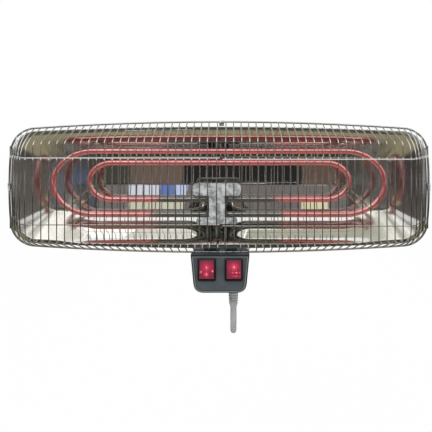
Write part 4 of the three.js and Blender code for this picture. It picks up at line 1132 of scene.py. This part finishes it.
@dataclass(frozen=True)
class Elements:
    """Both heating elements with their terminal pins, the bracket, the ceramic bushes and the spacers."""

    y: float = -150 * MM
    radius: float = 4 * MM
    sides: int = 22
    middle: float = -3 * MM
    end: float = 7.5 * MM
    pin: float = 1.6 * MM
    pin_sides: int = 12
    pin_length: float = 4 * MM
    pin_overlap: float = 1 * MM
    stem_half: float = 11 * MM
    loops: tuple[Loop, ...] = (
        Loop("outer", 237 * MM, 51 * MM, -39.5 * MM, 58 * MM, 95 * MM),
        Loop("inner", 185.5 * MM, 34.5 * MM, -18 * MM, 33 * MM, 86 * MM),
    )
    bush_sides: int = 36
    bush_mm: tuple[Pair, ...] = (
        (4.3, -3.5), (5.1, -3.5), (5.1, 0.3), (5.6, 0.3), (6.0, 0.7),
        (6.0, 4.0), (5.7, 4.6), (5.1, 5.0), (4.3, 5.0),
    )
    bracket_rounding: float = 0.8 * MM
    rod_rounding: float = 0.25 * MM

    def element(self, loop: Loop) -> None:
        """Makes one element with its two pins.

        Args:
            loop: the loop it follows.
        """
        node = f"{loop.word}_element"
        finish = HotSheath(f"{node}_sheath", loop.cold_reach, self.middle, loop.bottom, self.y).build()
        skins = [sweep(loop.path(self.y, self.middle, self.end), self.radius, self.sides, Y_AXIS)]
        for side in Side:
            tip = self.middle + side.value * (self.end - self.pin_length)
            root = self.middle + side.value * (self.end + self.pin_overlap)
            line = np.array([[tip, self.y, loop.bottom], [root, self.y, loop.bottom]])
            skins.append(sweep(line, self.pin, self.pin_sides, Y_AXIS))
        Dressing(HEAD, "element_sheath", finish, (node,), 50.0).make(f"{node}_tube", skins)

    def bush(self, side: Side, loop: Loop, finish: Material) -> None:
        """Makes one ceramic bush: a collar with soft edges on a neck through the bracket's wall.

        Args:
            side: which end of the loop it holds.
            loop: the loop.
            finish: its ceramic.
        """
        turn = np.array([[0.0, 0.0, side.value], [0.0, 1.0, 0.0], [-side.value, 0.0, 0.0]])
        place = np.array([self.middle + side.value * self.stem_half, self.y, loop.bottom])
        skin = placed(lathe(np.array(self.bush_mm) * MM, self.bush_sides), place, turn)
        node = f"{loop.word}_bush_{side.word}"
        Dressing(HEAD, "white_ceramic", finish, (node,), 40.0).make(f"{node}_collar", [skin])

    def build(self, ceramic: Material, bright: Material, cream: Material) -> None:
        """Makes the elements, bushes, bracket and spacers.

        Args:
            ceramic: finish of the bushes.
            bright: finish of the bracket.
            cream: finish of the spacers.
        """
        for loop in self.loops:
            self.element(loop)
            for side in Side:
                self.bush(side, loop, ceramic)
        bracket = Dressing(HEAD, "zinc_steel", bright)
        bracket.refine("terminal_bracket_sheet", "terminal_bracket", self.bracket_rounding, 3)
        rods = Dressing(HEAD, "zinc_steel", cream)
        for side in Side:
            node = f"element_spacer_{side.word}"
            rods.refine(f"{node}_rod", node, self.rod_rounding)


@dataclass(frozen=True)
class Wiring:
    """What lies behind the dish: the grommet, the terminal block and the sleeved leads."""

    ring_rounding: float = 0.3 * MM
    block_rounding: float = 0.4 * MM

    def build(self, rubber: Material, plastic: Material, sleeve: Material) -> None:
        """Dresses the wiring.

        Args:
            rubber: the grommet's finish.
            plastic: the block's finish.
            sleeve: the leads' finish.
        """
        ring = Dressing(HEAD, "black_rubber", rubber)
        ring.refine("lead_grommet_ring", "lead_grommet", self.ring_rounding)
        block = Dressing(HEAD, "pale_plastic", plastic)
        block.refine("terminal_block_body", "terminal_block", self.block_rounding)
        leads = Dressing(HEAD, "lead_sleeve", sleeve, crease_degrees=70.0)
        for node in ("switch_lead_left", "switch_lead_right", "element_lead"):
            leads.refine(f"{node}_sleeve", node, 0)


# ------------------------------------------------------------------ switch box


@dataclass(frozen=True)
class SwitchBox:
    """The plastic box under the head with its two switches.

    A row of halo or painted glints is a spot in a lens: its place across and up from the rocker's middle and
    its reach, in millimetres, then its gain and its squeeze. The halo is the lamp's glow; the glints are
    painted highlights.
    """

    switch_x: Pair = (-16.6 * MM, 20.9 * MM)
    switch_z: float = -112 * MM
    halo: tuple[Sizes, ...] = ((0, 4, 13, 0.85, 1), (0, 4, 6.0, 1, 1))
    # Painted highlights: the glint spots below, and on the right a level band, are put into each lens's glow
    # where the lens would catch light.
    left_painted_glints: tuple[Sizes, ...] = (
        (-0.5, -5.0, 6.0, 0.96, 1), (-8.0, -2.2, 3.2, 1, 1), (8.0, -1.0, 3.2, 1, 1),
    )
    right_painted_glints: tuple[Sizes, ...] = ((2.5, -3.2, 2.0, 1, 0.16), (2.5, -7.5, 1.6, 0.8, 0.16))
    front_rounding: float = 0.9 * MM
    back_rounding: float = 0.45 * MM
    frame_rounding: float = 0.35 * MM
    lens_rounding: float = 0.5 * MM

    def spots(self, x: float, painted_glints: tuple[Sizes, ...]) -> tuple[Glow, ...]:
        """The lamp's bright core and its halo, and the painted highlights on the lens, round x.

        Args:
            x: the rocker's middle.
            painted_glints: the rows of the painted highlights.

        Returns:
            The lens's spots.
        """
        z = self.switch_z
        rows = (*self.halo, *painted_glints)
        return tuple(Glow(x + dx * MM, z + dz * MM, reach * MM, *rest) for dx, dz, reach, *rest in rows)

    def build(self, shell: Material, slate: Material, black: Material) -> None:
        """Makes the two shells, the frames and the rockers.

        Args:
            shell: the front shell's plastic.
            slate: the back shell's plastic.
            black: the frames' plastic.
        """
        front = Dressing(HEAD, "slate_plastic", shell)
        front.refine("switch_box_front_shell", "switch_box_front", self.front_rounding, 3)
        back = Dressing(HEAD, "slate_plastic", slate)
        back.refine("switch_box_back_shell", "switch_box_back", self.back_rounding, 3)
        frames = Dressing(HEAD, "black_plastic", black)
        for side, x, painted_glints in zip(Side, self.switch_x, (self.left_painted_glints, self.right_painted_glints)):
            frames.refine(f"{side.word}_switch_body", f"{side.word}_switch_frame", self.frame_rounding, 3)
            node = f"{side.word}_rocker"
            lens = LitLens(f"{side.word}_lens_red", self.spots(x, painted_glints)).build()
            Dressing(node, "red_plastic", lens).refine(f"{node}_lens", node, self.lens_rounding, 3)


@dataclass(frozen=True)
class Gland:
    """The ribbed cable gland under the box and its lock nut. Profiles are radius and height in mm."""

    x: float = 20.5 * MM
    y: float = -143 * MM
    top: float = -145.3 * MM
    bottom: float = -172 * MM
    shoulder: float = 5 * MM
    bore: float = 4.8 * MM
    ribs: int = 6
    rib_depth: float = 0.75 * MM
    radius: float = 6.6 * MM
    taper: float = 1.1 * MM
    rib_flat: float = 1.6
    swell_end: float = 1.04
    swell_power: float = 0.3
    steps: int = 85
    sides: int = 40
    collar_sides: int = 6
    nut_rounding: float = 0.3 * MM
    thread_mm: tuple[Pair, ...] = ((4.8, 9.0), (5.7, 9.0), (6.0, 8.6), (6.0, -1.0), (7.0, -1.0))
    collar_mm: tuple[Pair, ...] = ((4.8, -5.0), (8.0, -5.0), (8.6, -4.2), (8.6, -0.5), (8.2, 0.0), (4.8, 0.0))

    def from_top(self, profile: tuple[Pair, ...]) -> Array:
        """A profile given from the gland's top, in metres and at its place."""
        return np.array(profile) * MM + [0, self.top]

    def sleeve_profile(self) -> Array:
        """The sleeve's profile: a thread, a short body, and ribs that taper: r = base - taper + ripple.

        Returns:
            Pairs of radius and height.
        """
        z = np.linspace(self.top - self.shoulder, self.bottom, self.steps)
        along = np.linspace(0, 1, len(z))
        ripple = self.rib_depth * np.clip(self.rib_flat * np.cos(2 * np.pi * self.ribs * along), -1, 1)
        swell = np.sin(np.pi * np.clip(along * self.swell_end, 0, 1)) ** self.swell_power
        ribs = np.stack([self.radius - self.taper * along + ripple * swell, z], axis=1)
        return np.concatenate([self.from_top(self.thread_mm), ribs, [[self.bore, self.bottom]]])

    def build(self, finish: Material) -> None:
        """Makes the sleeve with its hexagon collar, and dresses the nut.

        Args:
            finish: the gland's plastic.
        """
        place = np.array([self.x, self.y, 0.0])
        sleeve = placed(lathe(self.sleeve_profile(), self.sides), place)
        collar = placed(lathe(self.from_top(self.collar_mm), self.collar_sides), place)
        dress = Dressing(HEAD, "pale_plastic", finish, ("cable_gland",))
        dress.make("cable_gland_sleeve", [sleeve, collar])
        dress.refine("gland_nut_ring", "gland_nut", self.nut_rounding)


# ------------------------------------------------------------------ cord and plug


@dataclass(frozen=True)
class Cord:
    """The mains cord: from the gland round behind the box, coiled over the head's bracket, to its plug."""

    radius: float = 4.5 * MM
    sides: int = 20
    gland: Vec = (20.5 * MM, -143 * MM, -172.3 * MM)
    centre_z: float = -9.4 * MM
    entry_y: float = -83.8 * MM
    layer_pitch: float = 9.6 * MM
    pitch: float = 9.6 * MM
    inner: float = 40 * MM
    spiral_turns: int = 2
    coil_steps: int = 240
    dip: float = 1.4 * MM
    gap: float = 0.3 * MM
    tail: float = 18 * MM
    tail_straight: float = 5 * MM
    tail_shift: float = 2 * MM
    drop: float = 12 * MM
    bend: float = 36 * MM
    leave: float = 100 * MM
    arrive: float = 75 * MM
    rise_steps: int = 15
    bend_steps: int = 13
    tail_steps: int = 5
    never_along: Vec = (0.62, 0.78, 0.05)

    def coil(self) -> Array:
        """The coil: radius falls and rises with the angle, the half turn between climbs a layer.

        Returns:
            The coil's points.
        """
        lap = 2 * np.pi * self.spiral_turns
        outer = self.inner + self.pitch * self.spiral_turns
        turn = np.linspace(0, 2 * lap + np.pi, self.coil_steps + 1)
        climb = np.clip((turn - lap) / np.pi, 0, 1)
        radius = self.inner - self.dip * np.sin(np.pi * climb)
        radius = np.where(turn < lap, outer - self.pitch * turn / (2 * np.pi), radius)
        late = self.inner + self.pitch * (turn - lap - np.pi) / (2 * np.pi)
        radius = np.where(turn > lap + np.pi, late, radius)
        level = self.entry_y + self.layer_pitch * ease(climb)
        return np.stack([radius * np.cos(turn), level, self.centre_z + radius * np.sin(turn)], axis=1)

    def rise(self, start: Array, entry: Array) -> Array:
        """The stretch from the bend up to the coil: a cubic curve that leaves and arrives upright.

        Args:
            start: the bend's last point.
            entry: the point under the coil that it leads to.

        Returns:
            The stretch's points.
        """
        low = self.gland[2] - self.drop
        first = np.array([start[0], self.gland[1] + 2 * self.bend, low + self.leave])
        second = entry - [0, 0, self.arrive]
        end = entry - [0, 0, self.gap + 2 * self.radius]
        t = np.linspace(0, 1, self.rise_steps)[1:, None]
        return (1 - t) ** 3 * start + 3 * t * (1 - t) ** 2 * first + 3 * t**2 * (1 - t) * second + t**3 * end

    def path(self) -> Array:
        """The whole centre line from the gland to the plug.

        Returns:
            The centre line's points.
        """
        x, y, top = self.gland
        low = top - self.drop
        angle = np.linspace(0, np.pi, self.bend_steps)
        round_y = y + self.bend * (1 - np.cos(angle))
        bend = np.stack([np.full(len(angle), x), round_y, low - self.bend * np.sin(angle)], axis=1)
        coil = self.coil()
        lead = coil[0] - [0, 0, 2 * self.radius]
        away = coil[-1] - [0, 0, 2 * self.radius + self.gap]
        t = np.linspace(0, 1, self.tail_steps)[:, None]
        straight = [0, 0, self.tail_straight]
        fall = t * [0, 0, self.tail - 2 * self.tail_straight]
        tail = away - straight - fall + ease(t) * [0, self.tail_shift, 0]
        end = away + [0, self.tail_shift, -self.tail]
        start = np.array([self.gland, [x, y, top - 0.5 * self.drop]])
        rise = self.rise(bend[-1], lead)
        return np.concatenate([start, bend, rise, lead[None], coil, away[None], tail, end[None]])

    def build(self, sheath: Material, plug: list[Piece]) -> None:
        """Args:
            sheath: the cord's finish.
            plug: the pieces that go with it; not used.
        """
        path = self.path()
        nodes = ("cord_stretch", "cord_coil", "cord_tail")
        skin = sweep(path, self.radius, self.sides, np.array(self.never_along))
        piece = Dressing(HEAD, "cord_sheath", sheath, nodes, 60.0).make("mains_cord", [skin])


@dataclass(frozen=True)
class Plug:
    """The plug, its pins and the strap round the coil."""

    body_rounding: float = 0.4 * MM
    pin_rounding: float = 0.2 * MM
    strap_rounding: float = 0.35 * MM

    def build(self, plastic: Material, metal: Material, strap: Material) -> list[Piece]:
        """Dresses the plug's pieces and the tie.

        Args:
            plastic: the body's finish.
            metal: the pins' finish.
            strap: the tie's finish.

        Returns:
            The pieces that go with the cord.
        """
        shell = Dressing(HEAD, "pale_plastic", plastic)
        body = shell.refine("plug_shell", "plug_body", self.body_rounding, 3)
        pin = Dressing(HEAD, "pin_metal", metal)
        nodes = [f"plug_pin_{side.word}" for side in Side]
        pins = [pin.refine(f"{node}_post", node, self.pin_rounding) for node in nodes]
        tie = Dressing(HEAD, "tie_plastic", strap).refine("coil_tie_strap", "coil_tie", self.strap_rounding)
        return [body, *pins, tie]


# ------------------------------------------------------------------ brackets and fasteners


@dataclass(frozen=True)
class ClipForm:
    """A spring clip: a strip of sheet wrapped round the rim wire's two ends, hooked on the cover's skirt.

    Centre and end hold the rim wire's distance, the skirt's distance and the hook's length there.
    """

    sheet: float = 0.6 * MM
    wrap: float = 2.0 * MM
    wrap_angle: float = math.radians(285)
    wrap_steps: int = 25
    bend: float = 0.8 * MM
    soft: float = 0.2 * MM
    rim_y: float = -151 * MM
    centre: Vec = (93 * MM, 83.6 * MM, 3 * MM)
    end: Vec = (299.5 * MM, 291.1 * MM, 1 * MM)
    centre_x: float = 4 * MM
    centre_shift: float = 0.3 * MM
    centre_half: float = 3.5 * MM
    end_half: float = 5 * MM

    def line(self, rim: float, skirt: float, hook: float) -> Array:
        """The strip's centre line: pairs of depth and height, from the skirt's hook up and round the wire.

        Args:
            rim: the rim wire's distance from the middle.
            skirt: the skirt's distance from it.
            hook: the hook's length.

        Returns:
            The line's pairs.
        """
        angle = np.linspace(0, self.wrap_angle, self.wrap_steps)
        wrap = np.stack([self.rim_y + self.wrap * np.cos(angle), rim + self.wrap * np.sin(angle)], axis=1)
        steps = [[-hook, 0], [-self.bend, 0], [-self.soft, self.soft], [0, self.bend]]
        return np.concatenate([np.array(steps) + [self.rim_y + self.wrap, skirt], wrap])

    def strip(self, line: Array, along: Array, half: float) -> Skin:
        """A bent strip: rectangles square to a flat line, along a direction square to its plane.

        Args:
            line: the strip's centre line.
            along: the direction that it is wide in.
            half: half its width.

        Returns:
            The closed strip.
        """
        out = np.cross(directions(line), along) * self.sheet / 2
        reach = along * half
        corners = [line + out + reach, line + out - reach, line - out - reach, line - out + reach]
        return rings_skin(np.stack(corners, axis=1))

    def build(self, zinc: Material) -> None:
        """Makes the four clips.

        Args:
            zinc: the clips' plating.
        """
        depth, height = self.line(*self.centre).T
        end_depth, end_reach = self.line(*self.end).T
        skins: dict[str, Skin] = {}
        for place, sign in (("top", 1), ("bottom", -1)):
            x = np.full(len(depth), self.centre_x - sign * self.centre_shift)
            skins[place] = self.strip(np.stack([x, depth, sign * height], axis=1), X_AXIS, self.centre_half)
        for side in Side:
            line = np.stack([side.value * end_reach, end_depth, 0 * end_depth], axis=1)
            skins[side.word] = self.strip(line, Z_AXIS, self.end_half)
        for place, skin in skins.items():
            node = f"grille_clip_{place}"
            Dressing(HEAD, "zinc_steel", zinc, (node,)).make(f"{node}_strip", [skin])


@dataclass(frozen=True)
class Brackets:
    """The head's and the wall's bracket with the bolts, washers, nuts, screws and guard clips."""

    plate_rounding: float = 0.4 * MM
    bolt_rounding: float = 0.25 * MM
    screw_rounding: float = 0.15 * MM

    def build(self, paint: Material, zinc: Material, bright: Material) -> None:
        """Dresses the brackets and their fasteners.

        Args:
            paint: the brackets' paint.
            zinc: the fasteners' plating.
            bright: the clips' plating.
        """
        for body, node in ((WALL, "wall_bracket"), (HEAD, "head_bracket")):
            Dressing(body, "bracket_paint", paint).refine(f"{node}_plate", node, self.plate_rounding)
        metal = Dressing(HEAD, "zinc_steel", zinc)
        for node in [f"tilt_{part}_{side.word}" for side in Side for part in ("bolt", "washer", "nut")]:
            metal.refine(f"{node}_steel", node, self.bolt_rounding)
        for node in [f"{place}_screw_{number}" for number in range(1, 5) for place in ("bracket", "box")]:
            metal.refine(f"{node}_steel", node, self.screw_rounding)
        ClipForm().build(bright)


# ------------------------------------------------------------------ studio


def bare_tree(name: str, piece: Piece) -> bpy.types.NodeTree:
    """The emptied node tree of a new material on a piece.

    Args:
        name: the material's name.
        piece: what it goes on.

    Returns:
        The tree, without a node.
    """
    material = bpy.data.materials.new(name)
    material.use_nodes = True
    material.node_tree.nodes.clear()
    piece.data.materials.append(material)
    return material.node_tree


@dataclass(frozen=True)
class Card:
    """A studio card that shows only in reflections: it shapes what the polished metal sees."""

    name: str
    color: Vec
    centre: Vec
    size: Pair
    turn: Vec

    def build(self) -> None:
        """Hangs the card: a plain plane, unseen by the camera, that throws no shade."""
        bpy.ops.mesh.primitive_plane_add(size=1, location=self.centre, rotation=self.turn)
        card = bpy.context.object
        card.name = f"card_{self.name}"
        card.scale = (*self.size, 1)
        card.visible_camera = False
        card.visible_diffuse = False
        card.visible_shadow = False
        card.visible_transmission = False
        card.visible_volume_scatter = False
        tree = bare_tree(card.name, card)
        glow = wired(tree, "ShaderNodeEmission", {"Color": (*self.color, 1)})
        wired(tree, "ShaderNodeOutputMaterial", {"Surface": glow.outputs[0]})


FACING = (math.radians(90), 0.0, 0.0)
ACROSS = (math.radians(90), 0.0, math.radians(90))
LEVEL = (0.0, 0.0, 0.0)
CARDS = (
    Card("front_dark", (0.065, 0.061, 0.052), (0, -3.0, 0.575), (2.7, 1.85), FACING),
    Card("front_black", (0.022, 0.022, 0.020), (0.10, -2.99, -0.185), (0.88, 0.33), FACING),
    Card("front_warm", (0.16, 0.115, 0.09), (-0.54, -2.99, -0.185), (0.40, 0.33), FACING),
    Card("front_brown", (0.135, 0.09, 0.07), (0.68, -2.99, -0.185), (0.28, 0.33), FACING),
    Card("front_grey", (0.19, 0.175, 0.17), (0, -2.985, 0.15), (2.0, 0.30), FACING),
    Card("front_white", (0.72, 0.76, 0.88), (-0.64, -2.98, 0.20), (0.22, 0.20), FACING),
    Card("front_blue", (0.14, 0.22, 0.55), (-0.46, -2.98, 0.20), (0.13, 0.20), FACING),
    Card("front_pale", (0.58, 0.68, 0.98), (-0.335, -2.98, 0.20), (0.115, 0.20), FACING),
    Card("front_cream", (0.66, 0.66, 0.52), (-0.52, -2.98, 0.04), (0.46, 0.08), FACING),
    Card("front_sand", (0.80, 0.74, 0.50), (0.63, -2.98, 0.04), (0.20, 0.08), FACING),
    Card("front_left", (0.10, 0.10, 0.10), (-2.25, -3.0, 1.30), (1.8, 3.2), FACING),
    Card("front_right", (0.26, 0.26, 0.25), (2.25, -3.0, 1.30), (1.8, 3.2), FACING),
    Card("haze", (0.09, 0.12, 0.24), (-1.14, -2.98, -0.34), (0.16, 0.24), FACING),
    Card("haze_high", (0.08, 0.10, 0.16), (-1.14, -2.98, 0.12), (0.16, 0.30), FACING),
    Card("floor", (0.045, 0.045, 0.04), (0, -0.5, -0.614), (9.0, 9.0), LEVEL),
    Card("floor_olive", (0.30, 0.27, 0.16), (0, -0.30, -0.612), (1.6, 0.9), LEVEL),
    Card("back", (0.10, 0.10, 0.10), (0, 1.6, -0.1), (7.0, 1.0), FACING),
    Card("above", (0.30, 0.29, 0.25), (0, 1.9, 2.7), (7.0, 2.6), FACING),
    Card("strip", (1.40, 1.36, 1.30), (0, -1.6, 3.0), (9.0, 1.4), LEVEL),
    Card("strip_right", (0.45, 0.46, 0.37), (0.56, -1.6, 2.99), (1.07, 1.4), LEVEL),
    Card("strip_left", (0.80, 0.78, 0.72), (-0.40, -1.6, 2.99), (0.74, 1.4), LEVEL),
    Card("left", (0.02, 0.019, 0.022), (-3.2, -1.6, -0.2), (2.8, 0.9), ACROSS),
    Card("right", (0.09, 0.09, 0.08), (3.2, -1.6, -0.2), (2.8, 0.9), ACROSS),
    Card("left_pale", (0.05, 0.05, 0.05), (-3.2, -0.3, 0.9), (3.0, 2.2), ACROSS),
    Card("right_pale", (0.17, 0.17, 0.17), (3.2, -0.3, 0.9), (3.0, 2.2), ACROSS),
)


@dataclass(frozen=True)
class Lamp:
    """A soft square lamp, unseen in mirrors: where it hangs, what it is aimed at, its side and its watts."""

    name: str
    place: Vec
    target: Vec
    size: float
    watts: float

    def build(self) -> None:
        """Hangs the lamp, turned so that its face looks at the target."""
        data = bpy.data.lights.new(self.name, "AREA")
        data.size = self.size
        data.energy = self.watts
        lamp = bpy.data.objects.new(self.name, data)
        lamp.location = self.place
        aim = np.array(self.target) - np.array(self.place)
        aim /= np.linalg.norm(aim)
        lamp.rotation_euler = (math.acos(-aim[2]), 0, math.atan2(aim[0], -aim[1]) + math.pi)
        lamp.visible_glossy = False
        bpy.context.scene.collection.objects.link(lamp)


LAMPS = (
    Lamp("key", (-0.9, -1.8, 1.9), (0, -0.1, 0), 1.6, 26),
    Lamp("fill", (1.6, -1.6, 0.6), (0, -0.1, 0), 1.4, 10),
    Lamp("back", (0.4, 1.8, 1.4), (0, 0, 0), 1.6, 14),
)


@dataclass(frozen=True)
class Studio:
    """Camera, lamps, world, floor and cards."""

    eye: Vec = (0.017, -0.831, 0.087)
    focal_pixels: float = 476.0
    middle: Pair = (231.0, 126.0)
    picture: float = 432.0
    sensor: float = 36.0
    far_clip: float = 60.0
    ambient: float = 0.62
    floor_z: float = -0.62
    floor_size: float = 24.0
    floor_tone: float = 0.9
    floor_white: float = 0.97

    def camera(self) -> None:
        """Sets the camera at the photograph's angle, level, with the frame shifted as in the photograph."""
        data = bpy.data.cameras.new("camera")
        data.sensor_fit = "HORIZONTAL"
        data.sensor_width = self.sensor
        data.lens = self.focal_pixels / self.picture * self.sensor
        data.shift_x = (self.picture / 2 - self.middle[0]) / self.picture
        data.shift_y = (self.middle[1] - self.picture / 2) / self.picture
        data.clip_end = self.far_clip
        eye = bpy.data.objects.new("camera", data)
        eye.location = self.eye
        eye.rotation_euler = FACING
        bpy.context.scene.collection.objects.link(eye)
        bpy.context.scene.camera = eye

    @staticmethod
    def seen_directly(tree: bpy.types.NodeTree) -> Socket:
        """One where a ray comes from the camera, a mirror or glass, and nought elsewhere.

        Args:
            tree: the node tree that reads it.

        Returns:
            The share, one or nought.
        """
        rays = wired(tree, "ShaderNodeLightPath", {}).outputs
        total = rays["Is Camera Ray"]
        for kind in ("Is Glossy Ray", "Is Transmission Ray"):
            total = wired(tree, "ShaderNodeMath", {0: total, 1: rays[kind]}, "MAXIMUM").outputs[0]
        return total

    def world(self) -> None:
        """A white world to the camera and to metal, and a plain soft light to everything else."""
        world = bpy.data.worlds.new("studio")
        world.use_nodes = True
        bpy.context.scene.world = world
        tree = world.node_tree
        background = tree.nodes["Background"].inputs
        background["Color"].default_value = (1, 1, 1, 1)
        ends = {"Value": self.seen_directly(tree), "To Min": self.ambient, "To Max": 1.0}
        tree.links.new(wired(tree, "ShaderNodeMapRange", ends).outputs["Result"], background["Strength"])

    def floor(self) -> None:
        """A pale floor well below the heater: white to the camera, with a trace of its shadow."""
        bpy.ops.mesh.primitive_plane_add(size=self.floor_size, location=(0, 0, self.floor_z))
        floor = bpy.context.object
        floor.name = "floor"
        tree = bare_tree("floor_white", floor)
        matt = wired(tree, "ShaderNodeBsdfDiffuse", {"Color": (*[self.floor_tone] * 3, 1)}).outputs[0]
        glow = wired(tree, "ShaderNodeEmission", {}).outputs[0]
        sight = {0: self.seen_directly(tree), 1: self.floor_white}
        share = wired(tree, "ShaderNodeMath", sight, "MULTIPLY").outputs[0]
        mix = wired(tree, "ShaderNodeMixShader", {"Fac": share, 1: matt, 2: glow}).outputs[0]
        wired(tree, "ShaderNodeOutputMaterial", {"Surface": mix})

    def build(self) -> None:
        """Sets up the whole studio but the camera."""
        bpy.context.scene.view_settings.view_transform = "Standard"
        self.world()
        self.floor()
        for item in (*CARDS, *LAMPS):
            item.build()


# ------------------------------------------------------------------ assembly


# The upper level wire gets a painted highlight: it is less metallic than the others, so it shows lighter.
CHROME = MetalFinish(
    "wire_chrome", (0.84, 0.84, 0.82), (0.70, 0.70, 0.68), (0.05, 0.12), lit_wire_z=Guard.level_z
)
PIN = MetalFinish("pin_nickel", (0.80, 0.78, 0.72), (0.66, 0.64, 0.58), (0.15, 0.25))
CREAM = MetalFinish("spacer_cream", (0.92, 0.86, 0.68), (0.78, 0.72, 0.54), (0.22, 0.38))
SLATE = PlasticFinish("slate_plastic", (0.082, 0.098, 0.108), (0.066, 0.080, 0.088), (0.34, 0.46))
SHELL = ShellFinish("slate_shell", SLATE.light, SLATE.dark, SLATE.roughness)
BLACK = PlasticFinish("black_plastic", (0.016, 0.016, 0.020), (0.010, 0.010, 0.013), (0.22, 0.32), coat=0.3)
PALE = PlasticFinish("pale_plastic", (0.44, 0.44, 0.435), (0.37, 0.37, 0.365), (0.42, 0.55))
SHEATH = PlasticFinish("cord_sheath", (0.42, 0.42, 0.415), (0.36, 0.36, 0.355), (0.45, 0.6), grain=700.0)
STRAP = PlasticFinish("strap_black", (0.03, 0.03, 0.03), (0.02, 0.02, 0.02))
RUBBER = PlasticFinish("grommet_rubber", (0.028, 0.028, 0.028), (0.02, 0.02, 0.02), (0.5, 0.65), grain=900.0)
SLEEVE = PlasticFinish("lead_sleeve", (0.40, 0.38, 0.34), (0.32, 0.30, 0.27), (0.6, 0.75), grain=1500.0)
CERAMIC = PlasticFinish("bush_ceramic", (0.09, 0.08, 0.065), (0.045, 0.04, 0.032), (0.5, 0.65), grain=900.0)
BRIGHT_ZINC = SpangledZinc(
    "bracket_zinc", (0.96, 0.98, 0.98), (0.30, 0.33, 0.33),
    blotches=110.0, metallic=0.35, dents=(160.0, 1.2 * MM),
)
COVER_PAINT = PaintFinish("cover_paint", (0.30, 0.31, 0.32), (0.26, 0.27, 0.28))
BRACKET_PAINT = PaintFinish("bracket_paint", (0.34, 0.35, 0.36), (0.29, 0.30, 0.31))


def main() -> None:
    """Builds every sub-assembly in order."""
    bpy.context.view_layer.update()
    studio = Studio()
    studio.camera()
    zinc = SpangledZinc().build()
    pale = PALE.build()
    plug = Plug().build(pale, PIN.build(), STRAP.build())
    Cord().build(SHEATH.build(), plug)
    Reflector().build(PolishedDish().build())
    RearCover().build(COVER_PAINT.build())
    Guard().build(CHROME.build())
    bright = BRIGHT_ZINC.build()
    Elements().build(CERAMIC.build(), bright, CREAM.build())
    Wiring().build(RUBBER.build(), pale, SLEEVE.build())
    SwitchBox().build(SHELL.build(), SLATE.build(), BLACK.build())
    Gland().build(pale)
    Brackets().build(BRACKET_PAINT.build(), zinc, bright)
    studio.build()


if __name__ == "__main__":
    main()
